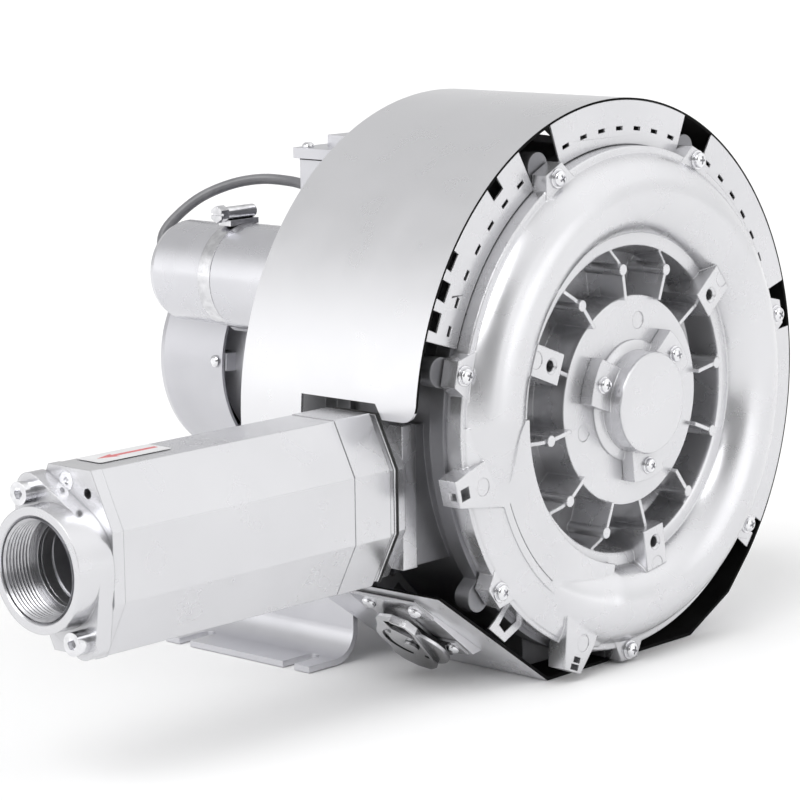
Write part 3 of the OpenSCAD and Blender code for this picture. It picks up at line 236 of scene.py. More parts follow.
# Impellers
# One-piece aluminium castings with a ring of straight blades on both sides of the rim.
# They run in the side channels with a small gap and turn with the shaft.
bare_casting = mottled("bare_casting", 0.9, 0.45, (0.52, 0.53, 0.55), (0.66, 0.67, 0.69), scale=120,
                       grain_scale=900, grain=0.00015, edge=0.0005, grain_detail=6)
finish_nodes(bare_casting, "front_impeller", "rear_impeller")

# Bearings and shaft seal
# Sealed deep-groove ball bearings of ground steel, pressed into the cover and the motor's
# shields, and a black rubber lip seal where the shaft leaves the casing.
bearing_steel = mottled("bearing_steel", 1.0, 0.2, (0.45, 0.45, 0.47), (0.58, 0.58, 0.6), scale=200,
                        grain_scale=800, grain=0.00002, edge=0.0004)
finish_nodes(bearing_steel, "front_bearing", "drive_end_bearing", "fan_end_bearing")
black_rubber = mottled("black_rubber", 0.0, 0.65, 0.012, 0.03, scale=150,
                       grain_scale=1200, grain=0.0001, edge=0.0004, sheen=0.1)
finish_nodes(black_rubber, "shaft_seal", "lid_gasket")

# Centre and rear casings
# Aluminium castings in silver paint, with the two side channels, the wall between the stages and the ears for
# the screws. Their colour is darkened as painted shade for the shadow inside the hood.
casing_paint_with_painted_shade = mottled("casing_paint_with_painted_shade", 0.75, 0.42, (0.22, 0.22, 0.235), (0.3, 0.3, 0.315), scale=25,
                       grain_scale=1100, grain=0.00012, edge=0.0012, grain_detail=6)
finish_nodes(casing_paint_with_painted_shade, "centre_casing", "rear_casing")

# Front cover
# A pressure casting in satin silver paint. The side channel's bulge runs round to two
# noses beside the flat panel over the interrupter; twelve webs brace the hub, and three
# of them carry the threaded pads. Two lugs on the panel take the lifting bars.
# Painted shade in silver_paint: how far the occlusion reaches, and the occlusion range over which it darkens
# the colour
PAINTED_SHADE_REACH = 0.035
PAINTED_SHADE_RANGE = (0.25, 0.8)
ROUGH_SPREAD = (-0.03, 0.04)
INTERRUPTER = -141.5
COVER_BACK = 14.0
COVER_FLANGE = 2.0
COVER_RIM_R = 158.0
RECESS_R = 102.0
RECESS_FLOOR = 24.0
HUB_R = 66.0
CHANNEL_R = 129.0
CHANNEL_Y = 13.0
BULGE_R = 27.0
CREST_R = 139.5
CREST_RISE = 0.4
BULGE_GAP = 40.0
BULGE_STEPS = 150
BULGE_SIDES = 40
NOSE_TIPS = (-20.5, 12.5)
NOSE_R = 16.2
NOSE_STEPS = 12
PANEL_FACE = -4.0
PANEL_R = 135.0
LUG_A = [(134.8, -33.3), (172.4, -30.2), (171.2, -24.5), (135.7, -18.3)]
LUG_B = [(137.6, 22.1), (173.2, 27.5), (173.3, 32.8), (155.0, 35.7), (139.1, 37.2)]
OUTER_STRIP = [(133, -3), (148, -1.8), (155, 1), (157, 4.5), (157, 11), (133, 11)]
FIRST_WEB = 159.0
WEB_T = 2.6
WEB_SHAPE = [(65, -4.7), (84.5, -4.5), (90, -1.4), (95.5, 3.4), (103, 4.2), (103, 25), (65, 25)]
PIN_AT = 84.5
PIN_R = 3.6
PAD_FACE = -8.0
PAD_HOLE_AT = 93.0
PAD_HOLE_R = 3.4
PAD_SHAPE = (83, 110, 10)
SCREW_CIRCLE = 160.0
SCREW_COUNT = 7
BOSS_FACE = 1.2
BOSS_BACK = 13
BOSS_SHAPE = [(150, -16), (166.5, -8), (166.5, 8), (150, 16)]
EJECTOR_R = 5.5
HUB_MARKS = [(7.5, 49.4), (-46.4, -14.1), (31.9, -25.6)]
PANEL_MARKS = [(149.2, -167.8), (154.1, -110.0)]
PANEL_BACK = 10
GROOVE_R = (129.3, 129.9)
GROOVE_TURNS = (-18, 12)
LUG_POCKETS = [
    (-26.8, (161.5, 169, -5, 4, -4, 3.5)), (-26.8, (168, 176, -2, 3, -2.5, 2.5)),
    (30.5, (163.3, 166.9, -5, 2, -3.2, 3.2)), (30.5, (168, 171.6, -5, 2, -4.5, 3))]
WEB_COUNT = 12
PAD_EVERY = 4
PAD_WEB_SHAPE = [(65, 1), (84, -2), (84, 25), (65, 25)]
CASTING_BACK = 25
AXIS_R = 0.01
screw_angles = [INTERRUPTER + i * 360 / SCREW_COUNT for i in range(SCREW_COUNT)]


def silver_paint(name, low, high, rough, grain, grain_scale=900, metal=0.85, edge=0.0006, shade=0.0):
    """Silver paint over a casting or a sheet, with painted shade that darkens its base colour in corners and
    recesses by the given share.
    """
    material, paint_tree, paint = shader(name, metal, rough, coat=0.15, coat_rough=0.2)
    vary(paint_tree, clouds(paint_tree, 14, detail=3), low, high, paint.inputs["Base Color"])
    if shade:
        # Painted shade: ambient occlusion multiplies the base colour darker in corners and recesses
        corner = paint_tree.nodes.new("ShaderNodeAmbientOcclusion")
        corner.samples = 6
        corner.inputs["Distance"].default_value = PAINTED_SHADE_REACH
        painted_shade_factor = paint_tree.nodes.new("ShaderNodeMapRange")
        painted_shade_factor.inputs["From Min"].default_value = PAINTED_SHADE_RANGE[0]
        painted_shade_factor.inputs["From Max"].default_value = PAINTED_SHADE_RANGE[1]
        painted_shade_factor.inputs["To Min"].default_value = 1 - shade
        painted_shade_factor.inputs["To Max"].default_value = 1.0
        mix = paint_tree.nodes.new("ShaderNodeMix")
        mix.data_type = "RGBA"
        mix.blend_type = "MULTIPLY"
        mix.inputs["Factor"].default_value = 1.0
        paint_tree.links.new(corner.outputs["AO"], painted_shade_factor.inputs["Value"])
        paint_tree.links.new(paint.inputs["Base Color"].links[0].from_socket, mix.inputs["A"])
        paint_tree.links.new(painted_shade_factor.outputs["Result"], mix.inputs["B"])
        paint_tree.links.new(mix.outputs["Result"], paint.inputs["Base Color"])
    vary(paint_tree, clouds(paint_tree, 40, detail=5), rough + ROUGH_SPREAD[0], rough + ROUGH_SPREAD[1],
         paint.inputs["Roughness"])
    roughen(paint_tree, clouds(paint_tree, grain_scale, detail=5), grain, paint, edge=edge)
    return material


def polar(r, degrees):
    """A point across the shaft, anticlockwise from +X as seen from the front."""
    return r * math.cos(math.radians(degrees)), r * math.sin(math.radians(degrees))


def arc(r, start, end, steps, middle=(0.0, 0.0)):
    """Points along an arc between two directions, both ends included."""
    turns = [start + (end - start) * i / steps for i in range(steps + 1)]
    return [(middle[0] + polar(r, a)[0], middle[1] + polar(r, a)[1]) for a in turns]


def ring(r, steps=48, middle=(0.0, 0.0)):
    """A full circle of points."""
    return arc(r, 0, 360 - 360 / steps, steps - 1, middle)


def plain_mesh(verts, faces):
    """A mesh in metres from millimetres, with its faces turned outwards."""
    mesh = bpy.data.meshes.new("part")
    mesh.from_pydata([(x * MM, y * MM, z * MM) for x, y, z in verts], [], faces)
    shape = bmesh.new()
    shape.from_mesh(mesh)
    bmesh.ops.recalc_face_normals(shape, faces=shape.faces[:])
    shape.to_mesh(mesh)
    shape.free()
    return mesh


def cut_sheet(loops, thickness, edge=0.3):
    """A flat piece around z = 0 from its rim and its holes, with rounded edges."""
    corners = [[Vector((x, y, 0)) for x, y in loop] for loop in loops]
    flat = [c for loop in corners for c in loop]
    count = len(flat)
    half = thickness / 2
    verts = [(c.x, c.y, -half) for c in flat] + [(c.x, c.y, half) for c in flat]
    faces = []
    for a, b, c in tessellate_polygon(corners):
        faces += [(a, c, b), (a + count, b + count, c + count)]
    first = 0
    for loop in corners:
        for i in range(len(loop)):
            a = first + i
            b = first + (i + 1) % len(loop)
            faces.append((a, b, b + count, a + count))
        first += len(loop)
    mesh = plain_mesh(verts, faces)
    if edge:
        shape = bmesh.new()
        shape.from_mesh(mesh)
        rims = [e for e in shape.edges if len(e.link_faces) == 2
                and abs(abs(e.link_faces[0].normal.z) - abs(e.link_faces[1].normal.z)) > 0.5]
        bmesh.ops.bevel(shape, geom=rims, offset=edge * MM, segments=2, profile=0.5, affect="EDGES")
        shape.to_mesh(mesh)
        shape.free()
    return mesh


def placed(mesh, *turns):
    """Moves a mesh by matrices, the last one first."""
    move = Matrix.Identity(4)
    for t in turns:
        move = move @ t
    mesh.transform(move)
    return mesh


def shift(x, y, z):
    return Matrix.Translation((x * MM, y * MM, z * MM))


def about(axis, degrees):
    return Matrix.Rotation(math.radians(degrees), 4, axis)


def around(degrees):
    """Turns about the shaft, anticlockwise as seen from the front."""
    return about("Y", -degrees)


def slab(loops, near, far, edge=0.3):
    """A plate across the shaft, drawn as seen from the front, between two stations."""
    return placed(cut_sheet(loops, far - near, edge), shift(0, (near + far) / 2, 0), about("X", 90))


def web(outline, degrees, thickness, edge=0.4):
    """A radial plate drawn as (radius, station)."""
    return placed(cut_sheet([outline], thickness, edge), around(degrees))


def turned(profile, start=0.0, end=360.0, steps=180):
    """A turned solid around the shaft from a closed profile of (radius, station)."""
    whole = end - start == 360
    rings = steps if whole else steps + 1
    count = len(profile)
    verts = []
    for i in range(rings):
        a = math.radians(start + (end - start) * i / steps)
        verts += [(r * math.cos(a), y, r * math.sin(a)) for r, y in profile]
    faces = []
    for i in range(steps):
        n = (i + 1) % rings
        for j in range(count):
            k = (j + 1) % count
            faces.append((i * count + j, n * count + j, n * count + k, i * count + k))
    if not whole:
        faces += [tuple(range(count)), tuple(range(steps * count, steps * count + count))]
    return plain_mesh(verts, faces)


def rod(r, near, far, x=0.0, z=0.0, steps=24, edge=0.3):
    """A round bar along the shaft direction."""
    return slab([ring(r, steps, (x, z))], near, far, edge)


def brick(x0, x1, y0, y1, z0, z1, edge=0.0):
    """A block with its edges parallel to the axes."""
    base = [(x0, y0), (x1, y0), (x1, y1), (x0, y1)]
    return placed(cut_sheet([base], z1 - z0, edge), shift(0, 0, (z0 + z1) / 2))


def merged(meshes):
    """One mesh from several, which are used up."""
    shape = bmesh.new()
    for mesh in meshes:
        shape.from_mesh(mesh)
        bpy.data.meshes.remove(mesh)
    out = bpy.data.meshes.new("part")
    shape.to_mesh(out)
    shape.free()
    return out


def carved(mesh, tools):
    """Cuts tools out of a mesh."""
    whole = bpy.data.objects.new("whole", mesh)
    tool = bpy.data.objects.new("tool", merged(tools))
    for thing in (whole, tool):
        bpy.context.scene.collection.objects.link(thing)
    cut = whole.modifiers.new("cut", "BOOLEAN")
    cut.operation = "DIFFERENCE"
    cut.solver = "EXACT"
    cut.use_self = True
    cut.object = tool
    bpy.context.view_layer.update()
    out = bpy.data.meshes.new_from_object(whole.evaluated_get(bpy.context.evaluated_depsgraph_get()))
    for thing in (whole, tool):
        bpy.data.objects.remove(thing)
    return out


def made_piece(name, meshes, material, node_name, sharp=32):
    """One object from meshes, smooth up to an angle, which stands for a CAD node."""
    mesh = merged(meshes)
    mesh.materials.clear()
    mesh.materials.append(material)
    mesh.shade_smooth()
    mesh.set_sharp_from_angle(angle=math.radians(sharp))
    piece = bpy.data.objects.new(name, mesh)
    bpy.context.scene.collection.objects.link(piece)
    flat = piece.modifiers.new("flat_faces", "WEIGHTED_NORMAL")
    flat.keep_sharp = True
    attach(piece, "blower")
    if node_name:
        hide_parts(node_name)
    return piece


def bulge():
    """The side channel's bulge with its creased crest and its two tapered noses."""
    stations = [(BULGE_GAP + i * (360 - 2 * BULGE_GAP) / BULGE_STEPS, CHANNEL_R, BULGE_R)
                for i in range(BULGE_STEPS + 1)]
    for tip, root, leads in ((NOSE_TIPS[1], BULGE_GAP, True), (360 + NOSE_TIPS[0], 360 - BULGE_GAP, False)):
        nose = [(root + (tip - root) * t, CHANNEL_R + 2 * t, BULGE_R - 0.3 - (BULGE_R - NOSE_R) * t)
                for t in (i / NOSE_STEPS for i in range(1, NOSE_STEPS + 3))]
        stations = nose[::-1] + stations if leads else stations + nose
    verts = []
    faces = []
    for angle, middle, radius in stations:
        a = math.radians(INTERRUPTER + angle)
        for j in range(BULGE_SIDES + 1):
            turn_to = math.pi * j / BULGE_SIDES
            r = middle + radius * math.cos(turn_to)
            rise = CREST_RISE if r < CREST_R else 0.0
            y = CHANNEL_Y - (radius + rise) * math.sin(turn_to)
            verts.append((r * math.cos(a), y, r * math.sin(a)))
    row = BULGE_SIDES + 1
    for i in range(len(stations) - 1):
        for j in range(row):
            k = (j + 1) % row
            faces.append((i * row + j, i * row + k, (i + 1) * row + k, (i + 1) * row + j))
    last = (len(stations) - 1) * row
    faces += [tuple(range(row)), tuple(range(last, last + row))]
    return plain_mesh(verts, faces)


def on_panel(points):
    return [polar(r, INTERRUPTER + a) for r, a in points]


body_shape = [
    (AXIS_R, 0), (HUB_R - 1.2, 0), (HUB_R - 0.35, 0.35), (HUB_R, 1.2), (HUB_R + 0.5, RECESS_FLOOR),
    (RECESS_R - 15, RECESS_FLOOR), (RECESS_R - 10.5, RECESS_FLOOR - 2),
    (RECESS_R - 9, RECESS_FLOOR - 6), (RECESS_R - 6.5, COVER_FLANGE + 3.5),
    (RECESS_R - 5.5, COVER_FLANGE + 1.2), (RECESS_R - 3, COVER_FLANGE),
    (COVER_RIM_R - 0.8, COVER_FLANGE), (COVER_RIM_R, COVER_FLANGE + 0.8), (COVER_RIM_R, COVER_BACK),
    (RECESS_R + 4, COVER_BACK), (RECESS_R + 4, RECESS_FLOOR + 4), (AXIS_R, RECESS_FLOOR + 4)]
cover_body = carved(turned(body_shape), [rod(EJECTOR_R, -2, 0.5, x, z, edge=0) for x, z in HUB_MARKS])
panel_outline = (
    arc(PANEL_R, INTERRUPTER - BULGE_GAP, INTERRUPTER - 33.3, 4)[:-1] + on_panel(LUG_A)
    + arc(PANEL_R, INTERRUPTER - 17.9, INTERRUPTER + 21.8, 18) + on_panel(LUG_B)
    + arc(PANEL_R, INTERRUPTER + 37.6, INTERRUPTER + BULGE_GAP, 2)
    + arc(RECESS_R + 0.5, INTERRUPTER + BULGE_GAP, INTERRUPTER - BULGE_GAP, 40))
groove_turns = [INTERRUPTER + a for a in GROOVE_TURNS]
groove = arc(GROOVE_R[0], *groove_turns, 20) + arc(GROOVE_R[1], *groove_turns[::-1], 20)
panel_cuts = [placed(brick(*box), around(INTERRUPTER + a)) for a, box in LUG_POCKETS]
panel_cuts.append(slab([groove], PANEL_FACE - 1, PANEL_FACE + 0.6, edge=0))
panel_cuts += [rod(EJECTOR_R, PANEL_FACE - 2, PANEL_FACE + 0.4, *polar(r, a), edge=0) for r, a in PANEL_MARKS]
cover_panel = carved(slab([panel_outline], PANEL_FACE, PANEL_BACK, edge=0.6), panel_cuts)
cover_parts = [cover_body, bulge(), cover_panel,
               turned(OUTER_STRIP, INTERRUPTER - BULGE_GAP, INTERRUPTER + BULGE_GAP, 40)]
near, far, half = PAD_SHAPE
pad_outline = [(near, -half), (far, -half), (far, half), (near, half)]
for i in range(WEB_COUNT):
    at = FIRST_WEB - i * 360 / WEB_COUNT
    if i % PAD_EVERY:
        pin = rod(PIN_R, -5, CASTING_BACK, PIN_AT, 0, edge=0.5)
        cover_parts += [web(WEB_SHAPE, at, WEB_T), placed(pin, around(at))]
        continue
    pad = slab([pad_outline], PAD_FACE, CASTING_BACK, edge=1.2)
    mouth = turned([(AXIS_R, -3), (PAD_HOLE_R + 2.2, -3), (PAD_HOLE_R + 1.6, 0.2), (PAD_HOLE_R, 1.4),
                    (PAD_HOLE_R, 18), (AXIS_R, 18)], steps=32)
    pad = carved(pad, [placed(mouth, shift(PAD_HOLE_AT, PAD_FACE, 0)),
                       rod(EJECTOR_R, PAD_FACE - 1, PAD_FACE + 0.4, far - 2, 0, edge=0)])
    cover_parts += [placed(pad, around(at)), web(PAD_WEB_SHAPE, at, WEB_T)]
for at in screw_angles:
    cover_parts.append(placed(slab([BOSS_SHAPE], BOSS_FACE, BOSS_BACK, edge=0.5), around(at)))
# Painted shade: shade=0.35 darkens the cover paint's colour in the recess, between the webs and in other
# corners
cover_paint = silver_paint("cover_paint", (0.67, 0.67, 0.69), (0.71, 0.71, 0.73), rough=0.26,
                           grain=0.00001, grain_scale=1500, metal=0.8, edge=0.001, shade=0.35)
made_piece("front_cover_casting", cover_parts, cover_paint, "front_cover")

# Bearing cap
# A small aluminium casting in the cover's paint, which closes the front bearing's seat.
# It is a round dome with three ears, each held by a screw.
CAP_FRONT = -17.6
CAP_R = 32.0
EAR_FACE = -9.3
EAR_TURNS = [158.0 - 120 * i for i in range(3)]
EAR_SCREW_AT = 41.5
cap_parts = [turned([(AXIS_R, CAP_FRONT), (CAP_R - 2, CAP_FRONT), (CAP_R - 0.7, CAP_FRONT + 0.5),
                     (CAP_R - 0.1, CAP_FRONT + 1.8), (CAP_R, -3.4), (CAP_R + 4, -2.6), (CAP_R + 6, -1.2),
                     (CAP_R + 6, 0), (AXIS_R, 0)], steps=96)]
ear = arc(EAR_SCREW_AT + 9, -17, 17, 8) + arc(CAP_R - 4, 30, -30, 8)
for ear_at in EAR_TURNS:
    cap_parts.append(placed(slab([ear], EAR_FACE, 0, edge=0.5), around(ear_at)))
made_piece("bearing_cap_casting", cap_parts, cover_paint, "bearing_cap")

# Cover screws and cap screws
# Zinc-plated pan head screws with a cross recess, each on a plain washer: seven around
# the cover and three in the cap.
zinc = mottled("zinc_plate", 1.0, 0.18, (0.72, 0.72, 0.74), (0.86, 0.86, 0.88), scale=250,
               grain_scale=900, grain=0.00002, edge=0.0003)
finish_nodes(zinc, "casing_screws", "end_plate_screw", "outlet_flange_screws", "inlet_flange_screws",
             "foot_screws", "motor_tie_rods", "latch_screws", "cowl_screws", "lid_screws")


def pan_screw(head_r, head_h, washer_r, washer_t, shank_r, length):
    """A pan head screw along Y with its seat at the origin and its head towards -Y."""
    base = -washer_t
    dome = [(head_r * math.sin(math.radians(a)), base - head_h * (0.35 + 0.65 * math.cos(math.radians(a))))
            for a in range(0, 91, 10)]
    dome[0] = (AXIS_R, base - head_h)
    head = turned(dome + [(head_r, base), (AXIS_R, base)], steps=28)
    arm = head_r * 0.52
    slot = head_r * 0.13
    deep = base - head_h * 0.35
    cross = [(slot, -arm), (slot, -slot), (arm, -slot), (arm, slot), (slot, slot), (slot, arm),
             (-slot, arm), (-slot, slot), (-arm, slot), (-arm, -slot), (-slot, -slot), (-slot, -arm)]
    head = carved(head, [slab([cross], base - head_h - 1, deep, edge=0)])
    washer = turned([(AXIS_R, base), (washer_r - 0.3, base), (washer_r, base + 0.3), (washer_r, 0),
                     (AXIS_R, 0)], steps=28)
    return merged([head, washer, rod(shank_r, 0, length, steps=12, edge=0)])


def screws(name, node_name, one, places):
    """Copies of one screw at its places, as one object."""
    copies = [placed(one.copy(), place) for place in places]
    bpy.data.meshes.remove(one)
    return made_piece(name, copies, zinc, node_name)


cover_screw = pan_screw(head_r=5.0, head_h=3.6, washer_r=6.2, washer_t=1.2, shank_r=2.9, length=20)
screws("cover_pan_screws", "cover_screws", cover_screw, [
    around(a) @ shift(SCREW_CIRCLE, BOSS_FACE, 0) @ about("Y", 17 * i) for i, a in enumerate(screw_angles)])
cap_screw = pan_screw(head_r=4.6, head_h=3.2, washer_r=5.4, washer_t=1.0, shank_r=2.5, length=13)
screws("cap_pan_screws", "bearing_cap_screws", cap_screw, [
    around(a) @ shift(EAR_SCREW_AT, EAR_FACE, 0) @ about("Y", 25 * i) for i, a in enumerate(EAR_TURNS)])

# Hood
# Rolled and folded sheet steel in smooth silver paint, with a turned-in front flange in four lengths. It is
# open around the silencer and at the back. Its inner faces and front edges are near-black painted shade for
# the dark inside.
HOOD_R = 188.0
HOOD_UP = -0.8
HOOD_FRONT = 12.0
HOOD_BACK = 155.0
HOOD_T = 2.0
HOOD_BOTTOM = -168.0
FACET = [(-174.7, -94.1), (-68.6, HOOD_BOTTOM)]
BOTTOM_RIGHT = [(78.0, HOOD_BOTTOM), (120.0, -147.0)]
OUTLET_GAP = [(0, -98), (0, 20), (12, 20), (12.8, 16.2), (14.9, 12.9), (18.2, 10.8), (22, 10), (38, 10),
              (44, 19), (104, 19), (104, -98)]
INLET_GAP = (120, 210, 97, 161, -84, 12)
FOOT_GAP = (-210, 210, 134, 160, -180, -83)
FLANGE_OUT = HOOD_R - 1.4
FLANGE_IN = 158.6
FLANGE_SECTORS = [(-33.9, 7.5), (17.4, 57.9), (67.6, 109.6), (119.7, 161.7)]
SLOT_R = (167.2, 169.6)
SLOT_HALF = 3.2
SLOT_COUNT = 7
SLOT_STEP = 6
SLOT_MARGIN = 2
NOTCHES = [(129.0, 10, 11), (146.3, 5, 12), (152.1, 8, 12), (158.0, 8, 12)]


def hood_outline(inset):
    """The hood's outline, inset by a distance."""
    outline = [Vector(p) for p in FACET + BOTTOM_RIGHT]
    outline += [Vector(p) for p in arc(HOOD_R, -41, 189.7, 160, (0.0, HOOD_UP))]
    out = []
    for i, p in enumerate(outline):
        before = (p - outline[i - 1]).normalized()
        after = (outline[(i + 1) % len(outline)] - p).normalized()
        left_of_before = Vector((-before.y, before.x))
        left_of_after = Vector((-after.y, after.x))
        out.append(p + inset * (left_of_before + left_of_after) / (1 + left_of_before.dot(left_of_after)))
    return [(p.x, p.y) for p in out]


def x_slab(outline, x0, x1, edge=0.3):
    """A plate across X, drawn as (station, height)."""
    turns = (shift((x0 + x1) / 2, 0, 0), about("Z", 90), about("X", 90))
    return placed(cut_sheet([outline], x1 - x0, edge), *turns)


outer = hood_outline(0)
inner = hood_outline(HOOD_T)
count = len(outer)
verts = [(x, y, z) for y in (HOOD_FRONT, HOOD_BACK) for loop in (outer, inner) for x, z in loop]
faces = []
for i in range(count):
    k = (i + 1) % count
    faces += [(i, k, 2 * count + k, 2 * count + i), (count + i, count + k, 3 * count + k, 3 * count + i),
              (i, k, count + k, count + i), (2 * count + i, 2 * count + k, 3 * count + k, 3 * count + i)]
hood_shell = carved(plain_mesh(verts, faces), [
    x_slab(OUTLET_GAP, -210, -120, edge=0), brick(*INLET_GAP), brick(*FOOT_GAP)])
hood_flange = []
for start, end in FLANGE_SECTORS:
    rim = arc(FLANGE_OUT, start, end, 40, (0.0, HOOD_UP))
    holes = []
    for k in range(SLOT_COUNT):
        a = (start + end) / 2 + (k - SLOT_COUNT // 2) * SLOT_STEP
        if start + SLOT_MARGIN < a < end - SLOT_MARGIN:
            run, rise = polar(1, a)
            holes.append([(r * run - t * rise, r * rise + t * run)
                          for r, t in ((SLOT_R[0], -SLOT_HALF), (SLOT_R[1], -SLOT_HALF),
                                       (SLOT_R[1], SLOT_HALF), (SLOT_R[0], SLOT_HALF))])
    plate = slab([rim + arc(FLANGE_IN, end, start, 30)] + holes, HOOD_FRONT - 0.3, HOOD_FRONT + 1.2, edge=0.2)
    bites = [placed(brick(FLANGE_OUT - deep, FLANGE_OUT + 9, 0, 30, -wide / 2, wide / 2), around(a))
             for a, deep, wide in NOTCHES if start < a < end]
    hood_flange.append(carved(plate, bites) if bites else plate)
hood_paint = silver_paint("hood_paint", (0.76, 0.76, 0.78), (0.78, 0.78, 0.80), rough=0.3,
                          grain=0.00001, metal=0.8, edge=0.0)
# Painted shade: a near-black matt material stands in for the shadow inside the hood
hood_painted_shade = matt(mottled("hood_inside_painted_shade", 0.0, 0.85, 0.004, 0.008, scale=60))
hood = made_piece("hood_sheet", [hood_shell], hood_paint, "hood")
hood.data.materials.append(hood_painted_shade)
# Inward-facing faces and the front edges get the painted shade
for face in hood.data.polygons:
    middle = face.center / MM
    across = Vector((middle.x, middle.z - HOOD_UP))
    looks_in = face.normal.x * across.x + face.normal.z * across.y < -0.3 * across.length
    front_edge = face.normal.y < -0.7 and middle.y < HOOD_FRONT + 1
    if looks_in or front_edge:
        face.material_index = 1
made_piece("hood_front_flange", hood_flange, cover_paint, "hood")

# Hood ties and latch seat
# Folded sheet strips behind the cover tie the hood to the casing at the lower corners,
# and a wedge pressed out of the hood's sloped side gives the latch a flat seat.
TIE_NEAR = 13.0
TIE_FAR = 14.5
LEFT_TIE = [(174.6, -134.4), (168.0, -134.0), (155.0, -133.6), (155.0, -132.2), (167.7, -132.2),
            (168.7, -129.7), (158.6, -127.9), (156.0, -127.3), (156.0, -125.2), (160.0, -125.8),
            (173.6, -128.4)]
RIGHT_TIE = [(186.0, -37.0), (170.0, -37.4), (156.0, -38.6), (156.0, -41.6), (170.0, -40.6),
             (186.0, -40.4)]
LATCH_PLANE = math.radians(38.62)
SEAT_INSET = 3
ties = [slab([[polar(r, a) for r, a in outline]], TIE_NEAR, TIE_FAR, edge=0.2)
        for outline in (LEFT_TIE, RIGHT_TIE)]
made_piece("hood_ties", ties, cover_paint, "hood")
latch_low, latch_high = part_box("latch_base")
facet_start = Vector(FACET[0])
facet_run = (Vector(FACET[1]) - facet_start).normalized()
latch_run = Vector((math.cos(LATCH_PLANE), -math.sin(LATCH_PLANE)))
latch_from, latch_to = [(end[0] / MM - FACET[0][0]) / latch_run.x for end in (latch_low, latch_high)]
wedge = [tuple(facet_start + run * along) for run, along in (
    (facet_run, latch_from + 2), (facet_run, latch_to + 3),
    (latch_run, latch_to - 3), (latch_run, latch_from + 4))]
seat = slab([wedge], latch_low[1] / MM + SEAT_INSET, latch_high[1] / MM - SEAT_INSET, edge=0.2)
made_piece("latch_seat", [seat], hood_paint, "hood")

# Silencer and manifolds
# Eight-sided aluminium castings in silver paint, bolted to the outlet manifold over a
# black gasket and a flange plate. The inlet's manifold and flange have the same finish.
# Painted shade: shade=0.4 darkens the silencer paint's colour in its corners and hollows
silencer_paint = silver_paint("silencer_paint", (0.65, 0.65, 0.67), (0.68, 0.68, 0.70), rough=0.24,
                              grain=0.00001, grain_scale=1200, metal=0.88, edge=0.001, shade=0.4)
finish_nodes(silencer_paint, "outlet_manifold", "silencer_adaptor", "silencer_body", "silencer_end_plate",
             "outlet_port_flange", "inlet_manifold", "inlet_port_flange")
SILENCER_Y = 61.0
SILENCER_Z = -38.0
SILENCER_W = 66.0
SILENCER_H = 104.0
TOP_FLAT = 17
SIDE_FLAT = 20
GASKET_X = (-185.1, -184.1)
FLANGE_X = (-186.9, -185.2)


def eight_sided(shrink):
    """The silencer's outline seen along X, as (distance along the shaft, height)."""
    w = SILENCER_W / 2 - shrink
    h = SILENCER_H / 2 - shrink
    top = TOP_FLAT - shrink / 2
    side = SIDE_FLAT - shrink / 2
    return [(SILENCER_Y + y, SILENCER_Z + z) for y, z in (
        (-top, h), (-w, side), (-w, -side), (-top, -h), (top, -h), (w, -side), (w, side), (top, h))]


made_piece("manifold_gasket", [x_slab(eight_sided(0.8), *GASKET_X, edge=0.2)],
           black_rubber, "silencer_gasket")
made_piece("manifold_flange_plate", [x_slab(eight_sided(1.6), *FLANGE_X, edge=0.3)],
           silencer_paint, "silencer_gasket")

# Port threads
# Pipe threads cut in the bores of both port flanges, where the pipework is screwed in.
# The cut casting is bright and unpainted.
THREAD_R = 28.6
THREAD_DEPTH = 1.5
THREAD_PITCH = 2.31
THREAD_TURNS = 8
THREAD_START = 1.2
THREAD_FOOT = 0.2
THREAD_CREST = (0.42, 0.58)


def pipe_thread(mouth_x, inwards, y, z):
    """Ridges inside a bore along X, from its mouth inwards."""
    profile = [(THREAD_R, 0)]
    for i in range(THREAD_TURNS):
        at = THREAD_START + i * THREAD_PITCH
        profile.append((THREAD_R - THREAD_FOOT, at))
        profile += [(THREAD_R - THREAD_DEPTH, at + THREAD_PITCH * share) for share in THREAD_CREST]
    end = THREAD_START + THREAD_TURNS * THREAD_PITCH
    profile += [(THREAD_R - THREAD_FOOT, end), (THREAD_R, end + THREAD_FOOT)]
    return placed(turned(profile, steps=96), shift(mouth_x, y, z), about("Z", -90 * inwards))


machined = mottled("machined_casting", 1.0, 0.3, (0.5, 0.5, 0.52), (0.6, 0.6, 0.62), scale=300,
                   grain_scale=900, grain=0.00003)
outlet_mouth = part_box("outlet_port_flange")[0][0] / MM
inlet_low, inlet_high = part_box("inlet_port_flange")
inlet_y, inlet_z = [(inlet_low[i] + inlet_high[i]) / 2 / MM for i in (1, 2)]
made_piece("port_threads", [
    pipe_thread(outlet_mouth, 1, SILENCER_Y + 1, SILENCER_Z - 1),
    pipe_thread(inlet_high[0] / MM, -1, inlet_y, inlet_z)],
    machined, None, sharp=20)

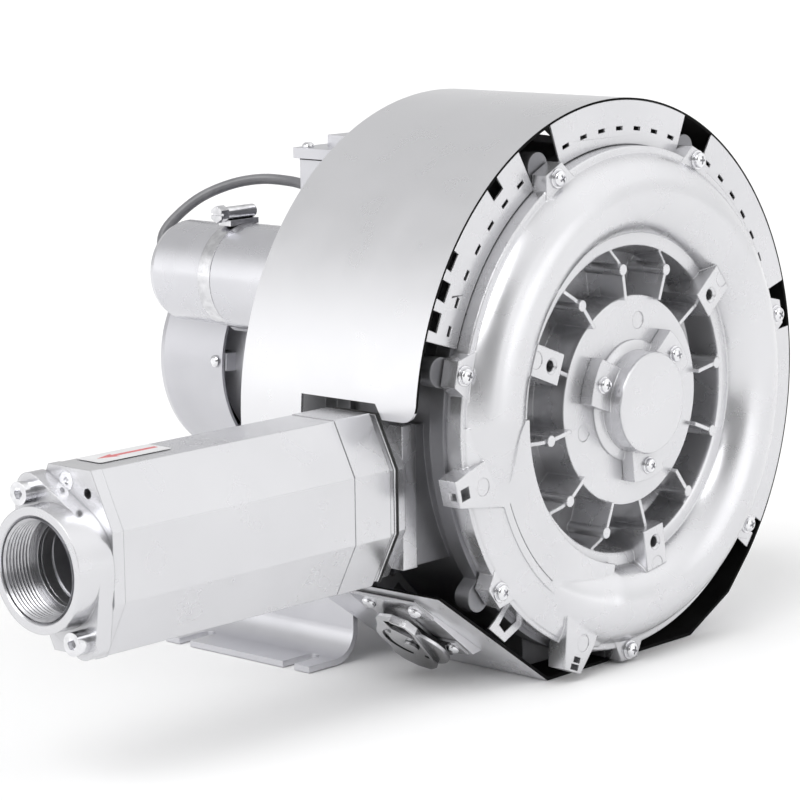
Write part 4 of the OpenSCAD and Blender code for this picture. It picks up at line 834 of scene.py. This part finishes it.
# Flow label
# A pale film label with round corners, stuck on the silencer's top flat. Its red printed
# arrow points to the outlet.
LABEL = (-394.0, -340.0, 56.0, 76.0)
LABEL_CORNER = 2
LABEL_T = 0.2
LABEL_RISE = 0.08
ARROW_T = 0.1
ARROW_RISE = 0.2
ARROW_Y = 66
ARROW = [(-387, 0), (-374, 4.2), (-375, 1.7), (-343, 1.7), (-343, -1.7), (-375, -1.7), (-374, -4.2)]
top_z = SILENCER_Z + SILENCER_H / 2
label_film = mottled("label_film", 0.0, 0.35, (0.74, 0.74, 0.75), (0.8, 0.8, 0.81), scale=90, coat=0.3)
red_ink = mottled("red_ink", 0.0, 0.4, (0.62, 0.08, 0.09), (0.7, 0.11, 0.12), scale=200, coat=0.3)
left, right, near, far = LABEL
label_outline = []
for start, x, y in ((180, left, near), (270, right, near), (0, right, far), (90, left, far)):
    middle = (x + math.copysign(LABEL_CORNER, left + right - 2 * x),
              y + math.copysign(LABEL_CORNER, near + far - 2 * y))
    label_outline += arc(LABEL_CORNER, start, start + 90, 4, middle)
label = placed(cut_sheet([label_outline], LABEL_T, 0), shift(0, 0, top_z + LABEL_RISE))
arrow_outline = [(x, y + ARROW_Y) for x, y in ARROW]
arrow = placed(cut_sheet([arrow_outline], ARROW_T, 0), shift(0, 0, top_z + ARROW_RISE))
made_piece("flow_label", [label], label_film, None)
made_piece("flow_arrow", [arrow], red_ink, None)

# Silencer insides, foot and cradle
# Felt is wrapped around a perforated steel tube inside the silencer. The bent foot under
# the motor and the capacitor's cradle are sheet steel too, in a slightly duller paint.
felt = mottled("liner_felt", 0.0, 0.95, 0.1, 0.2, scale=400, grain_scale=900, grain=0.0004,
               detail=8, grain_detail=8, sheen=0.3)
finish_nodes(felt, "silencer_liner")
sheet_paint = silver_paint("sheet_paint", (0.6, 0.6, 0.63), (0.66, 0.66, 0.69), rough=0.33, grain=0.00004)
finish_nodes(sheet_paint, "silencer_tube", "foot_bracket", "capacitor_cradle")

# Motor
# A finned aluminium housing between two cast shields on four tie rods, with a pressed
# cowl over the plastic fan, a sheet terminal box, laminated cores and copper windings.
motor_paint = silver_paint("motor_paint", (0.6, 0.6, 0.63), (0.68, 0.68, 0.71), rough=0.36,
                           grain=0.0001, grain_scale=1000, metal=0.8)
finish_nodes(motor_paint, "motor_front_shield", "motor_housing", "motor_rear_shield")
cowl_paint = silver_paint("cowl_paint", (0.57, 0.57, 0.60), (0.63, 0.63, 0.66), rough=0.32, grain=0.00004)
finish_nodes(cowl_paint, "fan_cowl", "terminal_box", "terminal_box_lid")
core_steel = mottled("core_sheets", 0.9, 0.5, (0.16, 0.16, 0.17), (0.28, 0.28, 0.29), scale=300,
                     grain_scale=500, grain=0.0001, stretch=30, grain_stretch=30)
finish_nodes(core_steel, "stator_core", "rotor_core")
copper = mottled("enamelled_copper", 0.9, 0.35, (0.42, 0.16, 0.07), (0.6, 0.26, 0.12), scale=300,
                 grain_scale=500, grain=0.0003, stretch=9, grain_stretch=9, coat=0.4)
finish_nodes(copper, "stator_windings")
black_plastic = mottled("black_plastic", 0.0, 0.45, (0.015, 0.015, 0.016), (0.03, 0.03, 0.032), scale=120,
                        grain_scale=1300, grain=0.00008, edge=0.0005)
finish_nodes(black_plastic, "cooling_fan", "terminal_block", "cable_gland", "lead_gland")

# Capacitor
# A smooth aluminium can in silver paint, which lies in the cradle beside the motor.
# A worm clamp of bright steel holds it down.
can_paint = silver_paint("can_paint", (0.64, 0.64, 0.67), (0.69, 0.69, 0.72), rough=0.26, grain=0.00002)
finish_nodes(can_paint, "capacitor", "capacitor_cap")
bright_steel = mottled("bright_steel", 1.0, 0.16, (0.62, 0.62, 0.64), (0.78, 0.78, 0.8), scale=200,
                       grain_scale=700, grain=0.00003, edge=0.0003)
finish_nodes(bright_steel, "clamp_band", "clamp_screw")

# Turn latch
# A zinc-plated strip with three screws on the hood's sloped side, and a stamped plate
# with a curved slot, which swings on the pivot.
# Painted shade: shade=0.8 strongly darkens the latch steel's colour in its corners and crevices
latch_steel = silver_paint("latch_steel", (0.66, 0.66, 0.68), (0.76, 0.76, 0.78), rough=0.2,
                           grain=0.00001, metal=1.0, edge=0.0004, shade=0.8)
finish_nodes(latch_steel, "latch_base", "latch_plate", "latch_pivot")

# Floor and light
# A wide pale floor under a bright sky, with one broad soft sun from the upper left. The
# sky has brighter and darker parts, which the satin paint shows as soft bands.
FLOOR_HALF = 40.0
FLOOR_TOP = -0.1685
SUN_POWER = 1.25
SUN_ANGLE = math.radians(40)
SUN_FROM = (-0.75, -0.15, 0.85)
SKY_BASE = 0.99
# Each lobe: its direction, the cosines where it starts and is full, and what it adds
SKY_LOBES = [
    ((0.15, 0.72, 0.67), 0.35, 0.95, -0.4),
    ((-0.85, 0.45, -0.1), 0.55, 0.98, 0.5),
    ((-0.8, -0.6, 0.2), 0.68, 0.94, -0.8),
    ((0.2, -0.97, 0.05), 0.84, 0.98, 0.7),
    ((0.55, -0.35, 0.75), 0.75, 0.98, 0.25),
]
floor_corners = [(x * FLOOR_HALF, y * FLOOR_HALF, FLOOR_TOP) for x, y in ((-1, -1), (1, -1), (1, 1), (-1, 1))]
floor = link_mesh("studio_floor", floor_corners, [(0, 1, 2, 3)], smooth=False)
floor.data.materials.append(matt(mottled("floor_paint", 0.0, 0.9, 0.975, 0.985, scale=2)))
sun_data = bpy.data.lights.new("sun", "SUN")
sun_data.energy = SUN_POWER
sun_data.angle = SUN_ANGLE
sun = bpy.data.objects.new("sun", sun_data)
sun.rotation_euler = Vector(SUN_FROM).to_track_quat("Z", "Y").to_euler()
bpy.context.scene.collection.objects.link(sun)
world = bpy.data.worlds.new("studio")
world.use_nodes = True
tree = world.node_tree
sky = tree.nodes["Background"]
view = tree.nodes.new("ShaderNodeTexCoord")
strength = None
for middle, low, high, rise in SKY_LOBES:
    side = tree.nodes.new("ShaderNodeVectorMath")
    side.operation = "DOT_PRODUCT"
    side.inputs[1].default_value = Vector(middle).normalized()
    tree.links.new(view.outputs["Generated"], side.inputs[0])
    spread = tree.nodes.new("ShaderNodeMapRange")
    spread.interpolation_type = "SMOOTHSTEP"
    spread.inputs["From Min"].default_value = low
    spread.inputs["From Max"].default_value = high
    spread.inputs["To Min"].default_value = 0.0
    spread.inputs["To Max"].default_value = rise
    tree.links.new(side.outputs["Value"], spread.inputs["Value"])
    total = tree.nodes.new("ShaderNodeMath")
    total.operation = "ADD"
    total.inputs[1].default_value = SKY_BASE
    if strength:
        tree.links.new(strength, total.inputs[1])
    tree.links.new(spread.outputs["Result"], total.inputs[0])
    strength = total.outputs["Value"]
tree.links.new(strength, sky.inputs["Strength"])
sky.inputs["Color"].default_value = (1, 1, 1, 1)
bpy.context.scene.world = world
bpy.context.scene.view_settings.view_transform = "Standard"
